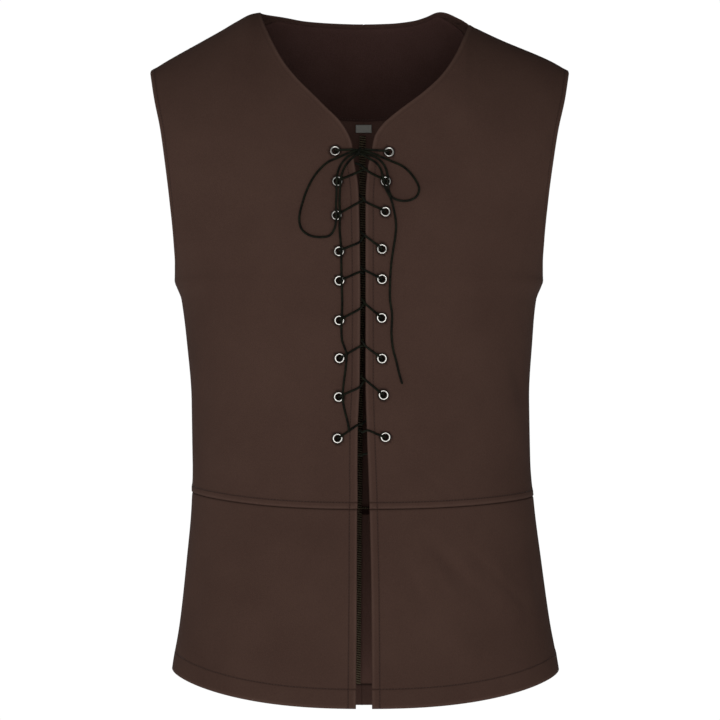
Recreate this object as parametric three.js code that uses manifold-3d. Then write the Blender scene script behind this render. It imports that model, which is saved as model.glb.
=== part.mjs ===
// A man's lace-up vest in brown faux suede, filled out as it is worn, with no wearer in it.
// Millimetres, +Z up. The front faces -Y, and the wearer's right is at -X.
// The origin is midway between the middles of the two shoulder seams.
import * as THREE from "three";
import { mergeVertices } from "three/addons/utils/BufferGeometryUtils.js";
import Module from "manifold-3d";

const wasm = await Module();
wasm.setup();

// Cloth and seams
const CLOTH = 1.6;
const SEAM_GAP = 0.3;
const FRONT = -1;
const BACK = 1;
const RIGHT = -1;
const LEFT = 1;

// The body's horizontal section is between an ellipse (power 2) and a box.
const SECTION_POWER = 2.4;
const SHOULDER_ROUND = 120;
const UNDERARM = -253;
const ARC_RADIUS = 155;

// Waist seam and hem: height at the side seam, and how far the middle hangs below it.
const WAIST = {
  side: { [RIGHT]: -476, [LEFT]: -480 },
  frontMiddle: -489,
  backMiddle: -505.5,
  power: 2,
};
const HEM = { side: { [RIGHT]: -662, [LEFT]: -663 }, frontMiddle: -691, backMiddle: -716, power: 1.8 };

// Eyelets and lace
const EYELET = {
  hole: 2.8,
  barrel: 3.3,
  flange: 5.3,
  washer: 4.7,
  flangeHeight: 0.9,
  flangeSlope: 0.7,
  washerHeight: 0.6,
  flangeGap: 0.3,
  washerGap: 0.6,
};
const EYELET_SIDES = 12;
const LACE = 2.3;

const COLOURS = {
  suede: 0x3f2f29,
  facing: 0x33261f,
  label: 0x8b8a84,
  nickel: 0xc9c9c6,
  lace: 0x14160f,
};

// A table's columns by name, from one row of numbers for each place.
function table(names, rows) {
  return Object.fromEntries(names.map((name, i) => [name, rows.map((row) => row[i])]));
}

// Section: depth to the front and to the back of the middle, half-width at the side seam
// and how far the section leans to the wearer's left.
const SECTIONS = table(["height", "half", "front", "back", "lean"], [
  [-720, 211, 119, 118, 3.6],
  [-660, 203.2, 117, 114, 3.2],
  [-612, 194.8, 115, 109, 2.6],
  [-548, 186.8, 112.5, 102, 1.6],
  [-490, 180.5, 111, 96, 0.5],
  [-443, 177.9, 112, 95, -1],
  [-380, 177.8, 117, 100, -2.1],
  [-316, 182.1, 122, 107, -3],
  [-274, 186.8, 124.5, 112, -3.7],
  [UNDERARM, 193.7, 125, 113, -3.7],
  [-172, 193.7, 120.5, 113, -3.7],
  [-120, 193.7, 113, 108, -3.4],
  [-60, 193.7, 100, 95, -2.9],
  [0, 193.7, 88, 78, -2.9],
  [30, 193.7, 84, 66, -2.9],
]);

// Armhole: reach of its edge from the middle, and its place round the body in degrees.
const ARMHOLE = table(["height", "reach", "angle"], [
  [UNDERARM, 193.7, 90],
  [-250, 193.2, 86],
  [-243, 192.4, 80.5],
  [-233, 191.8, 75.5],
  [-213, 192.5, 69],
  [-172, 196.1, 63],
  [-131, 201.3, 60.5],
  [-99, 206.5, 60],
  [-67, 214, 60],
  [-44, 218.6, 60],
  [-36, 220.3, 60],
]);

// The line of the shoulders' tops, seen from the front.
const RIDGE = table(["across", "height"], [
  [-223.2, -32.5],
  [-206.4, -22.2],
  [-168.4, -1],
  [-149.4, 9.6],
  [-131.4, 20.2],
  [-117, 27.4],
  [-107, 29],
  [0, 78],
  [81, 40],
  [105, 25],
  [112.5, 16.3],
  [123, 11],
  [145.2, 0.6],
  [196.9, -21.2],
  [217.4, -32.5],
]);
const NECK_POINT = { [RIGHT]: -107, [LEFT]: 112.5 };
const SHOULDER_TIP = { [RIGHT]: -223.2, [LEFT]: 217.4 };

// The edge of the back neck between the two neck points.
const BACK_NECK = table(["across", "height"], [
  [-107, 29],
  [-86, 28.1],
  [-60, 25.5],
  [-30, 24.6],
  [0, 24.2],
  [30, 24.5],
  [55, 26.3],
  [68, 29.2],
  [81, 33],
  [105, 23.2],
  [112.5, 16.3],
]);

// Centre back seam, which strays a little from the middle.
const BACK_SEAM = table(["height", "across"], [
  [-720, -0.5],
  [-490, -0.3],
  [-300, 1],
  [-100, 1.8],
  [24, 1.5],
]);

// Edges of the fronts: hem, opening and V neck, from below up to the neck point.
const FRONT_EDGE = {
  [RIGHT]: table(["height", "across"], [
    [-700, -6.7],
    [-601, -5.8],
    [-487, -5.2],
    [-407, -4.6],
    [-360, -2.7],
    [-277, -2.1],
    [-175, -3.5],
    [-159, -4.4],
    [-137, -8.2],
    [-118.5, -10.3],
    [-107.7, -14.1],
    [-93.7, -22.9],
    [-79.7, -36.6],
    [-63.9, -52.2],
    [-47.6, -68],
    [-28.8, -82],
    [-2.8, -95.4],
    [20, -104.6],
    [29, -107],
  ]),
  [LEFT]: table(["height", "across"], [
    [-700, 9.7],
    [-601, 9.2],
    [-487, 7.1],
    [-407, 4.3],
    [-360, 3],
    [-277, 3],
    [-175, 3],
    [-141, 5.5],
    [-123.4, 9.3],
    [-109.6, 12.3],
    [-97.8, 20],
    [-85.8, 33],
    [-73.8, 48.6],
    [-61.7, 64.2],
    [-45.1, 81],
    [-23.7, 95.3],
    [-5.8, 103.8],
    [8.6, 110],
    [16.3, 112.5],
  ]),
};

// Rows of the upper panels: drop below the shoulder seam at the neck and at the armhole.
const FRONT_ROWS = table(["neck", "arm"], [
  [0, 0],
  [2.5, 2.5],
  [9, 9],
  [20, 20],
  [36, 35],
  [55, 54],
  [76, 78],
  [98, 105],
  [118, 132],
  [133, 156],
  [147, 178],
  [162, 196],
  [182, 208],
  [206, 216],
  [232, 219.7],
  [262, 242],
  [295, 270],
  [330, 300],
  [368, 332],
  [408, 365],
  [446, 396],
  [482, 422],
  [518, 443],
]);

// Rows of the upper back: share of the way down, with half of it above the underarm.
const BACK_ROWS = [
  0, 0.01, 0.03, 0.062, 0.103, 0.15, 0.2, 0.255, 0.31, 0.365, 0.41, 0.45, 0.478, 0.493, 0.5, 0.56,
  0.63, 0.71, 0.8, 0.9, 1,
];
const ARM_DEPTH = 219.7;

// Broad soft folds: a line from one place to another, with its width and depth. A place is
// degrees round from the front middle, and a height. Below zero is a trough.
const FOLDS = table(
  ["side", "fromAngle", "fromHeight", "toAngle", "toHeight", "width", "depth"],
  [
    [LEFT, 12, -500, 34, -590, 13, -2.2],
    [LEFT, 20, -590, 31, -660, 14, 1.8],
    [LEFT, 40, -510, 52, -640, 16, 1.6],
    [LEFT, 52, -300, 78, -420, 15, -1.8],
    [RIGHT, 48, -310, 76, -430, 15, -1.6],
    [RIGHT, 30, -560, 44, -650, 16, 1.4],
    [RIGHT, 58, -500, 66, -630, 17, -1.8],
    [LEFT, 68, -500, 74, -640, 16, -1.6],
    [RIGHT, 100, -290, 128, -400, 16, -1.8],
    [LEFT, 102, -300, 130, -420, 16, -2],
    [RIGHT, 122, -520, 130, -680, 18, 2],
    [LEFT, 118, -530, 124, -670, 17, 1.8],
    [RIGHT, 156, -430, 158, -560, 15, -1.6],
    [LEFT, 152, -440, 156, -580, 16, -1.8],
  ],
);

// Eyelet pairs from the neck down: where both are, the height where each strand leaves its
// own front, and the height where it passes the middle of the opening.
const EYELETS = table(
  [
    "rightAcross", "rightHeight", "rightEdge", "rightMiddle",
    "leftAcross", "leftHeight", "leftEdge", "leftMiddle",
  ],
  [
    [-27.7, -125, 0, 0, 27, -126.2, 0, 0],
    [-25.4, -156.2, -148, -145, 23.7, -156.2, -146, -139.6],
    [-26.2, -190.8, -178, -176.6, 23.3, -187.2, -177, -172.2],
    [-23.6, -227.3, -218, -213.8, 19.8, -225, -212, -209.5],
    [-23.3, -257, -248.5, -249.5, 19.8, -255.5, -247, -245.5],
    [-23.4, -297.1, -285, -281.6, 19.5, -294.7, -280.5, -277],
    [-23.2, -335.4, -323.5, -323, 19.8, -335.8, -323, -319],
    [-24, -374.7, -364.5, -360.6, 21.4, -372.7, -357.5, -355.5],
    [-25.3, -416.8, -403, -402.1, 23.4, -415.5, -408.5, -410.7],
  ],
);

// The bow's cords, as they lie on the fronts: across, height, and lift off the cloth.
const BOW = {
  bow_loop_right: [
    [-9.8, -127, 4.4], [-15.7, -128.8, 3.6], [-24.3, -132.4, 2], [-35, -137, 1.4], [-46.1, -147.7, 1.4],
    [-54.2, -161, 1.5], [-60.3, -177.3, 1.4], [-63.8, -194.6, 1.4], [-61.2, -205.2, 1.5],
    [-53.1, -211.4, 1.4], [-42, -213.2, 1.4], [-32.9, -211.4, 1.6], [-28.2, -204.8, 3], [-26.6, -197, 5],
    [-26.4, -189, 5.5], [-26.6, -180, 4], [-26.2, -170, 3.4], [-26, -161, 5], [-25.8, -154, 5.4],
    [-24.5, -146.3, 3], [-20.6, -137.8, 1.6], [-14.9, -131.8, 2.2], [-9.4, -128.9, 2.4],
  ],
  bow_tail_right: [
    [-7.6, -131.2, 4], [-12.2, -135, 3.4], [-17, -140.8, 2.4], [-20.4, -148.6, 4.4], [-21.6, -154, 5.7],
    [-22.4, -161, 5.1], [-22.9, -169, 3.8], [-23.2, -178, 3.4], [-22.9, -187, 5.4], [-22.8, -195, 5],
    [-23, -206, 1.6], [-21.9, -218, 3], [-21.5, -226, 5.4], [-21.3, -234, 3], [-21.2, -246, 2.6],
    [-21, -256, 5.4], [-20.8, -264, 2.6], [-20.4, -280, 1.5], [-20.6, -290, 4.6], [-20.9, -297, 5.4],
    [-21.2, -306, 2.4], [-20.4, -318, 1.6], [-17.6, -325.5, 4], [-15.9, -332, 4.6],
    [-17, -345.4, 1.5], [-18.8, -359.6, 2.6], [-19.5, -367, 4.6], [-19.8, -373, 5.6],
    [-19.4, -380, 3.2], [-18, -388, 1.5], [-15, -399.6, 3], [-13.2, -409, 3.8],
  ],
  bow_loop_left: [
    [3.4, -126.9, 4.4], [12.7, -129.4, 3.9], [19.8, -132.4, 3], [27.9, -135.4, 1.5], [42.1, -142.1, 1.4],
    [52.2, -152.8, 1.4], [57.3, -164, 1.5], [54.2, -172.2, 1.4], [46.1, -176.1, 1.4], [37, -175.9, 1.4],
    [30.2, -172.8, 1.5], [26.8, -166.2, 2.6], [25.4, -158, 5.4], [25.2, -150, 3.8], [21.6, -139.4, 1.5],
    [14.7, -133.1, 2], [4.4, -129, 2.4],
  ],
  bow_tail_left: [
    [2.4, -131.2, 4], [8.4, -134.8, 3.6], [14.4, -138.8, 3.9], [18.4, -144.6, 3.4], [20.6, -153, 5.6],
    [23.4, -164.3, 4.2], [28.6, -174.6, 3.9], [31.9, -186.5, 1.5], [33.9, -200.7, 1.4],
    [32.9, -213.9, 1.4], [30.8, -227.1, 1.5], [28.8, -242.3, 1.4], [27.8, -260.5, 1.5],
    [27.8, -276.6, 1.4], [29.8, -290.8, 1.4], [29.3, -311, 1.5], [30.9, -326.2, 1.4],
    [34.4, -339.3, 1.4], [37, -350.5, 1.5], [40, -360.6, 1.4],
  ],
};
const KNOT = { across: -3, height: -126.6, lift: 3.6, size: [5.8, 3.2, 3] };

// Half-moon facing inside the back neck, and the label under it.
const FACING = {
  columns: 7,
  rows: 6,
  bottom: -77,
  ends: 20,
  curveHalf: 140,
  thick: 1,
  below: 2.5,
  underRidge: 9,
};
const LABEL = { across: 1.6, height: -84.6, width: 17.5, tall: 8.8, thick: 0.8 };

const degrees = THREE.MathUtils.degToRad;
const lerp = THREE.MathUtils.lerp;

// A table's column read at a place between its rows, smooth and with no overshoot.
function read(rows, key, column, place) {
  const keys = rows[key];
  const values = rows[column];
  const last = keys.length - 1;
  if (place <= keys[0]) return values[0];
  if (place >= keys[last]) return values[last];
  const i = keys.findIndex((k) => k > place) - 1;
  const slope = (n) => (values[n + 1] - values[n]) / (keys[n + 1] - keys[n]);
  const tangent = (n) => {
    if (n === 0) return slope(0);
    if (n === last) return slope(last - 1);
    const before = slope(n - 1);
    const after = slope(n);
    return before * after <= 0 ? 0 : (2 * before * after) / (before + after);
  };
  const step = keys[i + 1] - keys[i];
  const t = (place - keys[i]) / step;
  const rise = step * (tangent(i) * t * (1 - t) ** 2 - tangent(i + 1) * t * t * (1 - t));
  return lerp(values[i], values[i + 1], t * t * (3 - 2 * t)) + rise;
}

// Width or depth share of a section, from the sine or cosine of an angle from its middle.
const share = (f) => Math.sign(f) * Math.abs(f) ** (2 / SECTION_POWER);

function sectionAt(height) {
  const section = Object.fromEntries(
    ["half", "front", "back", "lean"].map((c) => [c, read(SECTIONS, "height", c, height)]),
  );
  if (height > UNDERARM) {
    const edge = degrees(read(ARMHOLE, "height", "angle", height));
    section.half = read(ARMHOLE, "height", "reach", height) / share(Math.sin(edge));
  }
  return section;
}

const ridgeAt = (across) => read(RIDGE, "across", "height", across);

// How much of the depth is left at a height under the shoulders' tops.
function shoulderShare(across, height) {
  const drop = Math.min(1, Math.max(0, (ridgeAt(across) - height) / SHOULDER_ROUND));
  return Math.sqrt(1 - (1 - drop) ** 2);
}

// Degrees round the body, from the middle of the front or the back, of a point across it.
function angleAt(side, across, height) {
  const section = sectionAt(height);
  const out = (side * (across - section.lean)) / section.half;
  const turn = Math.asin(Math.min(1, Math.abs(out) ** (SECTION_POWER / 2)));
  return Math.sign(out) * THREE.MathUtils.radToDeg(turn);
}

function acrossAt(side, angle, height) {
  const section = sectionAt(height);
  return section.lean + side * section.half * share(Math.sin(degrees(angle)));
}

function bodyPoint(face, side, angle, height) {
  const section = sectionAt(height);
  const across = acrossAt(side, angle, height);
  const depth = (face === FRONT ? section.front : section.back) * share(Math.cos(degrees(angle)));
  return new THREE.Vector3(across, face * depth * shoulderShare(across, height), height);
}

// The body's level at any point: 1 on its surface, less inside.
function level(x, y, z) {
  const section = sectionAt(z);
  const depth = Math.max(1, (y < 0 ? section.front : section.back) * shoulderShare(x, z));
  const wide = Math.abs(x - section.lean) / section.half;
  return wide ** SECTION_POWER + (Math.abs(y) / depth) ** SECTION_POWER;
}

// Direction out of the cloth. On the shoulders' tops it stands square to their line.
function outward(point) {
  const { x, y, z } = point;
  const e = 0.5;
  if (ridgeAt(x) - z < e) {
    return new THREE.Vector3((ridgeAt(x - e) - ridgeAt(x + e)) / (2 * e), 0, 1).normalize();
  }
  return new THREE.Vector3(
    level(x + e, y, z) - level(x - e, y, z),
    level(x, y + e, z) - level(x, y - e, z),
    level(x, y, z + e) - level(x, y, z - e),
  ).normalize();
}

// Height of all the folds together at a place of the cloth.
function foldAt(face, side, angle, height) {
  const girth = face === FRONT ? angle : 180 - angle;
  const place = new THREE.Vector2(degrees(girth) * ARC_RADIUS, height);
  let sum = 0;
  FOLDS.side.forEach((foldSide, i) => {
    if (foldSide !== side) return;
    const from = new THREE.Vector2(degrees(FOLDS.fromAngle[i]) * ARC_RADIUS, FOLDS.fromHeight[i]);
    const to = new THREE.Vector2(degrees(FOLDS.toAngle[i]) * ARC_RADIUS, FOLDS.toHeight[i]);
    const run = to.sub(from);
    const off = place.clone().sub(from);
    const along = off.dot(run) / run.lengthSq();
    if (along <= 0 || along >= 1) return;
    const aside = off.cross(run) / run.length() / FOLDS.width[i];
    sum += FOLDS.depth[i] * Math.sin(Math.PI * along) ** 2 * Math.exp(-aside * aside);
  });
  return sum;
}

// A place on the cloth lifted out of its outer face, with the direction out of it.
function clothPoint(face, side, angle, height, lift = 0) {
  const base = bodyPoint(face, side, angle, height);
  const normal = outward(base);
  return { at: base.addScaledVector(normal, foldAt(face, side, angle, height) + lift), normal };
}

// The same, by distance across the front instead of degrees.
function frontPoint(across, height, lift = 0) {
  const lean = sectionAt(height).lean;
  const side = across < lean ? RIGHT : LEFT;
  return clothPoint(FRONT, side, angleAt(side, across, height), height, lift);
}

function waistHeight(face, side, angle) {
  const middle = face === FRONT ? WAIST.frontMiddle : WAIST.backMiddle;
  const edge = WAIST.side[side];
  return edge + (middle - edge) * Math.cos(degrees(angle)) ** WAIST.power;
}

function hemHeight(face, side, angle) {
  const middle = face === FRONT ? HEM.frontMiddle : HEM.backMiddle;
  const edge = HEM.side[side];
  return edge + (middle - edge) * Math.max(0, Math.cos(degrees(angle))) ** HEM.power;
}

// A closed geometry, turned right way out, from shared points and triangles.
function closedGeometry(points, triangles) {
  const geometry = new THREE.BufferGeometry().setFromPoints(points);
  let volume = 0;
  for (let i = 0; i < triangles.length; i += 3) {
    const [a, b, c] = triangles.slice(i, i + 3).map((n) => points[n]);
    volume += a.dot(b.clone().cross(c));
  }
  geometry.setIndex(volume < 0 ? triangles.reverse() : triangles);
  return geometry;
}

// A wall from a grid of places: its outer face, its inner face one thickness in, and rims.
// Its edges named in seams are drawn back by half the seam's gap.
function wall(places, thickness, seams = []) {
  const rows = places.length;
  const columns = places[0].length;
  const outer = places.map((row) => row.map((p) => p.at.clone()));
  const trim = (row, column, towardRow, towardColumn) => {
    const step = places[towardRow][towardColumn].at.clone().sub(places[row][column].at);
    outer[row][column].addScaledVector(step.normalize(), SEAM_GAP / 2);
  };
  for (let c = 0; c < columns; c += 1) {
    if (seams.includes("top")) trim(0, c, 1, c);
    if (seams.includes("bottom")) trim(rows - 1, c, rows - 2, c);
  }
  for (let r = 0; r < rows; r += 1) {
    if (seams.includes("middle")) trim(r, 0, r, 1);
    if (seams.includes("side")) trim(r, columns - 1, r, columns - 2);
  }
  const inner = outer.map((row, r) =>
    row.map((p, c) => p.clone().addScaledVector(places[r][c].normal, -thickness)),
  );
  const points = [...outer.flat(), ...inner.flat()];
  const triangles = [];
  const quad = (a, b, c, d) => triangles.push(a, b, c, a, c, d);
  const out = (r, c) => r * columns + c;
  const into = (r, c) => rows * columns + out(r, c);
  for (let r = 0; r < rows - 1; r += 1) {
    for (let c = 0; c < columns - 1; c += 1) {
      quad(out(r, c), out(r + 1, c), out(r + 1, c + 1), out(r, c + 1));
      quad(into(r, c), into(r, c + 1), into(r + 1, c + 1), into(r + 1, c));
    }
    quad(out(r, 0), into(r, 0), into(r + 1, 0), out(r + 1, 0));
    quad(out(r + 1, columns - 1), into(r + 1, columns - 1), into(r, columns - 1), out(r, columns - 1));
  }
  for (let c = 0; c < columns - 1; c += 1) {
    quad(out(0, c + 1), into(0, c + 1), into(0, c), out(0, c));
    quad(out(rows - 1, c), into(rows - 1, c), into(rows - 1, c + 1), out(rows - 1, c + 1));
  }
  return closedGeometry(points, triangles);
}

const evenly = (count) => Array.from({ length: count + 1 }, (_, i) => i / count);

// Shares of a panel's way round the body, closer together near its middle edge.
const FRONT_COLUMNS = 13;
const WAIST_COLUMNS = 14;
const WAIST_ROWS = 8;
const CROWDING = 1.3;
const panelColumns = (count) => evenly(count).map((f) => f ** CROWDING);

// Height on the armhole or the side seam, so far below the shoulder's tip. The tips aren't
// level, but the underarms are.
function sideHeight(side, drop) {
  const tip = ridgeAt(SHOULDER_TIP[side]);
  return drop < ARM_DEPTH ? lerp(tip, UNDERARM, drop / ARM_DEPTH) : UNDERARM - (drop - ARM_DEPTH);
}

// Upper front: columns run from the opening or the V neck round to the armhole or the side.
function upperFront(side) {
  const neck = ridgeAt(NECK_POINT[side]);
  const places = FRONT_ROWS.neck.map((neckDrop, row) => {
    const lowest = row === FRONT_ROWS.neck.length - 1;
    const armHeight = lowest ? WAIST.side[side] : sideHeight(side, FRONT_ROWS.arm[row]);
    let edgeHeight = neck - neckDrop;
    if (lowest) edgeHeight = WAIST.frontMiddle;
    const edgeAcross = read(FRONT_EDGE[side], "height", "across", edgeHeight);
    const edgeAngle = angleAt(side, edgeAcross, edgeHeight);
    const armAngle = armHeight > UNDERARM ? read(ARMHOLE, "height", "angle", armHeight) : 90;
    const armAcross = acrossAt(side, armAngle, armHeight);
    const roof = Math.max(0, 1 - FRONT_ROWS.arm[row] / SHOULDER_ROUND);
    return panelColumns(FRONT_COLUMNS).map((f) => {
      const angle = lerp(edgeAngle, armAngle, f);
      if (lowest) return clothPoint(FRONT, side, angle, waistHeight(FRONT, side, angle));
      const across = acrossAt(side, angle, lerp(edgeHeight, armHeight, f));
      const along = (across - edgeAcross) / (armAcross - edgeAcross);
      const bulge = ridgeAt(across) - lerp(ridgeAt(edgeAcross), ridgeAt(armAcross), along);
      return clothPoint(FRONT, side, angle, lerp(edgeHeight, armHeight, along) + roof * bulge);
    });
  });
  return wall(places, CLOTH, ["top", "bottom", "side"]);
}

// Upper back: columns run from the centre back seam, past the neck point, to the armhole.
const NECK_COLUMNS = 6;
const SHOULDER_COLUMNS = 7;

function upperBackPlaces(side) {
  const neckAngle = angleAt(side, NECK_POINT[side], ridgeAt(NECK_POINT[side]));
  const tipHeight = ridgeAt(SHOULDER_TIP[side]);
  const tipAngle = angleAt(side, SHOULDER_TIP[side], tipHeight);
  const seamTop = angleAt(side, read(BACK_SEAM, "height", "across", 0), 0);
  const topAngles = [
    ...evenly(NECK_COLUMNS).map((f) => lerp(seamTop, neckAngle, f)),
    ...evenly(SHOULDER_COLUMNS).slice(1).map((f) => lerp(neckAngle, tipAngle, f)),
  ];
  return BACK_ROWS.map((drop) =>
    topAngles.map((topAngle, column) => {
      const part = (topAngle - seamTop) / (tipAngle - seamTop);
      const topAcross = column === NECK_COLUMNS ? NECK_POINT[side] : acrossAt(side, topAngle, 0);
      const onNeck = column < NECK_COLUMNS;
      const top = onNeck ? read(BACK_NECK, "across", "height", topAcross) : ridgeAt(topAcross);
      const armHeight = drop < 0.5
        ? sideHeight(side, 2 * drop * ARM_DEPTH)
        : lerp(UNDERARM, WAIST.side[side], 2 * drop - 1);
      const armAngle = armHeight > UNDERARM ? read(ARMHOLE, "height", "angle", armHeight) : 90;
      const straight = lerp(tipHeight, WAIST.side[side], drop);
      const evenHeight = lerp(top, waistHeight(BACK, side, part * 90), drop);
      const height = evenHeight + part * (armHeight - straight);
      const seamAngle = angleAt(side, read(BACK_SEAM, "height", "across", height), height);
      const angle = drop === 0 ? topAngle : lerp(seamAngle, armAngle, part);
      return clothPoint(BACK, side, angle, height);
    }),
  );
}

// The place at a height on one column of a panel's grid, on the straight between its rows.
function onColumn(places, column, height) {
  const row = places.findIndex((line, r) => r > 0 && line[column].at.z <= height);
  const above = places[row - 1][column];
  const below = places[row][column];
  const t = (above.at.z - height) / (above.at.z - below.at.z);
  return between(above, below, t);
}

// The place part of the way from one place of the cloth to another.
function between(a, b, t) {
  return { at: a.at.clone().lerp(b.at, t), normal: a.normal.clone().lerp(b.normal, t).normalize() };
}

function movedIn({ at, normal }, depth) {
  return { at: at.clone().addScaledVector(normal, -depth), normal };
}

// Waist panel: between the waist seam and the hem, from the opening or centre back to the side.
function waistPanel(face, side) {
  const places = evenly(WAIST_ROWS).map((down) =>
    panelColumns(WAIST_COLUMNS).map((f) => {
      const middle = lerp(
        face === FRONT ? WAIST.frontMiddle : WAIST.backMiddle,
        face === FRONT ? HEM.frontMiddle : HEM.backMiddle,
        down,
      );
      const edges = face === FRONT ? FRONT_EDGE[side] : BACK_SEAM;
      const edge = angleAt(side, read(edges, "height", "across", middle), middle);
      const angle = lerp(edge, 90, f);
      const height = lerp(waistHeight(face, side, angle), hemHeight(face, side, angle), down);
      return clothPoint(face, side, angle, height);
    }),
  );
  return wall(places, CLOTH, face === FRONT ? ["top", "side"] : ["top", "side", "middle"]);
}

// Facing: a half moon inside both upper backs, made from their own points.
function neckFacing() {
  const columns = [];
  for (const side of [RIGHT, LEFT]) {
    const panel = upperBackPlaces(side);
    for (let c = side === RIGHT ? 0 : 1; c <= FACING.columns; c += 1) {
      const across = panel[0][c].at.x;
      const neck = panel[0][c].at.z - FACING.below;
      const top = Math.min(neck, ridgeAt(across) - FACING.underRidge);
      const curve = Math.sqrt(1 - (across / FACING.curveHalf) ** 2);
      const bottom = lerp(FACING.ends, FACING.bottom, curve);
      const column = evenly(FACING.rows).map((down) => {
        return movedIn(onColumn(panel, c, lerp(top, bottom, down)), CLOTH + SEAM_GAP);
      });
      if (side === RIGHT) columns.unshift(column);
      else columns.push(column);
    }
  }
  return wall(columns, FACING.thick);
}

// Label: a small plate that hangs under the facing, against the inside of the back.
function sizeLabel() {
  const places = [-1, 0, 1].map((aside) => {
    const panel = upperBackPlaces(aside < 0 ? RIGHT : LEFT);
    return [0.5, -0.5].map((up) => {
      const height = LABEL.height + up * LABEL.tall;
      const seam = onColumn(panel, 0, height);
      const next = onColumn(panel, 1, height);
      const across = LABEL.across + (aside * LABEL.width) / 2;
      const t = (across - seam.at.x) / (next.at.x - seam.at.x);
      return movedIn(between(seam, next, t), CLOTH + SEAM_GAP);
    });
  });
  return wall(places, LABEL.thick);
}

// A solid for joins and cuts, from a geometry in place.
function solidOf(geometry) {
  const bare = geometry.clone();
  bare.deleteAttribute("normal");
  bare.deleteAttribute("uv");
  const merged = mergeVertices(bare);
  return new wasm.Manifold(
    new wasm.Mesh({
      numProp: 3,
      vertProperties: new Float32Array(merged.attributes.position.array),
      triVerts: new Uint32Array(merged.index.array),
    }),
  );
}

function geometryOf(solid) {
  const mesh = solid.getMesh();
  const geometry = new THREE.BufferGeometry();
  geometry.setAttribute("position", new THREE.BufferAttribute(mesh.vertProperties, 3));
  geometry.setIndex(new THREE.BufferAttribute(mesh.triVerts, 1));
  return geometry;
}

function eyeletPlaces(side) {
  const [across, height] = side === RIGHT ? ["rightAcross", "rightHeight"] : ["leftAcross", "leftHeight"];
  return EYELETS[across].map((a, i) => frontPoint(a, EYELETS[height][i]));
}

// Turns a shape that stands on +Y to stand along the direction out of the cloth.
function standOn(object, place) {
  object.position.copy(place.at);
  object.quaternion.setFromUnitVectors(new THREE.Vector3(0, 1, 0), place.normal);
  return object;
}

// The front with a hole through it for the barrel of each eyelet.
function punchedFront(side) {
  let solid = solidOf(upperFront(side));
  const radius = EYELET.barrel + SEAM_GAP;
  const punch = new THREE.CylinderGeometry(radius, radius, 6 * CLOTH, EYELET_SIDES);
  for (const place of eyeletPlaces(side)) {
    const tool = standOn(new THREE.Mesh(punch), place);
    tool.updateMatrix();
    solid = solid.subtract(solidOf(punch.clone().applyMatrix4(tool.matrix)));
  }
  return geometryOf(solid);
}

// Eyelet: a flange outside, a barrel through the cloth and a washer inside.
function eyeletGeometry() {
  const outside = EYELET.flangeGap;
  const inside = -CLOTH - EYELET.washerGap;
  const profile = [
    [EYELET.hole, inside - EYELET.washerHeight],
    [EYELET.washer, inside - EYELET.washerHeight],
    [EYELET.washer, inside],
    [EYELET.barrel, inside],
    [EYELET.barrel, outside],
    [EYELET.flange, outside],
    [EYELET.flange - EYELET.flangeSlope, outside + EYELET.flangeHeight],
    [EYELET.hole, outside + EYELET.flangeHeight],
    [EYELET.hole, inside - EYELET.washerHeight],
  ];
  return new THREE.LatheGeometry(profile.map(([x, y]) => new THREE.Vector2(x, y)), EYELET_SIDES);
}

// A curve whose rings stand at its own points, so that short bends keep their shape.
class Route extends THREE.CatmullRomCurve3 {
  getPointAt(t, target) {
    return this.getPoint(t, target);
  }

  getTangentAt(t, target) {
    return this.getTangent(t, target);
  }
}

function cord(points, sides) {
  const ring = new THREE.Shape(
    evenly(sides).slice(1).map((f) => {
      const turn = f * 2 * Math.PI;
      return new THREE.Vector2(Math.cos(turn), Math.sin(turn)).multiplyScalar(LACE / 2);
    }),
  );
  const extrudePath = new Route(points, false, "centripetal");
  return new THREE.ExtrudeGeometry(ring, { steps: points.length - 1, extrudePath, bevelEnabled: false });
}

// A cord's way out of an eyelet and into one: distance towards the opening, and lift.
const OUT_OF_EYELET = [[0, -0.8], [0.8, 1.4], [2.6, 3.1], [5.4, 3]];
const INTO_EYELET = [[6.8, -4.2], [2.6, -4.4], [0.2, -3]];
const ON_CLOTH = { lift: 1.5, from: 9.5 };
const BEHIND_CLOTH = { lift: -3.2, past: 2.5 };
const FAR_RISE = 3;
const LACE_SIDES = { laced: 6, bow: 8 };
const BOTTOM_SAG = 18;

// One strand, from an eyelet over its own front, through the opening, and behind the other
// front to the next eyelet up.
function strand(side, row) {
  const [own, other] = side === RIGHT ? ["right", "left"] : ["left", "right"];
  const from = new THREE.Vector2(EYELETS[`${own}Across`][row], EYELETS[`${own}Height`][row]);
  const to = new THREE.Vector2(EYELETS[`${other}Across`][row - 1], EYELETS[`${other}Height`][row - 1]);
  const onEdge = (edgeSide, height) =>
    new THREE.Vector2(read(FRONT_EDGE[edgeSide], "height", "across", height), height);
  const edge = onEdge(side, EYELETS[`${own}Edge`][row]);
  const middle = EYELETS[`${own}Middle`][row];
  const far = onEdge(-side, middle + FAR_RISE);
  const gap = new THREE.Vector2((edge.x + far.x) / 2, middle);
  const out = edge.clone().sub(from).normalize();
  const back = far.clone().sub(to).normalize();
  const rows = [
    ...OUT_OF_EYELET.map(([r, lift]) => [from.clone().addScaledVector(out, r), lift]),
    [from.clone().addScaledVector(out, ON_CLOTH.from), ON_CLOTH.lift],
    [edge, ON_CLOTH.lift],
    [gap, 0],
    [gap.clone().lerp(far, 0.45), BEHIND_CLOTH.lift / 2],
    [gap.clone().lerp(far, 0.88), BEHIND_CLOTH.lift],
    [far.clone().addScaledVector(back, -BEHIND_CLOTH.past), BEHIND_CLOTH.lift - SEAM_GAP],
    ...INTO_EYELET.map(([r, lift]) => [to.clone().addScaledVector(back, r), lift]),
  ];
  return rows.map(([p, lift]) => frontPoint(p.x, p.y, lift).at);
}

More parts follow.
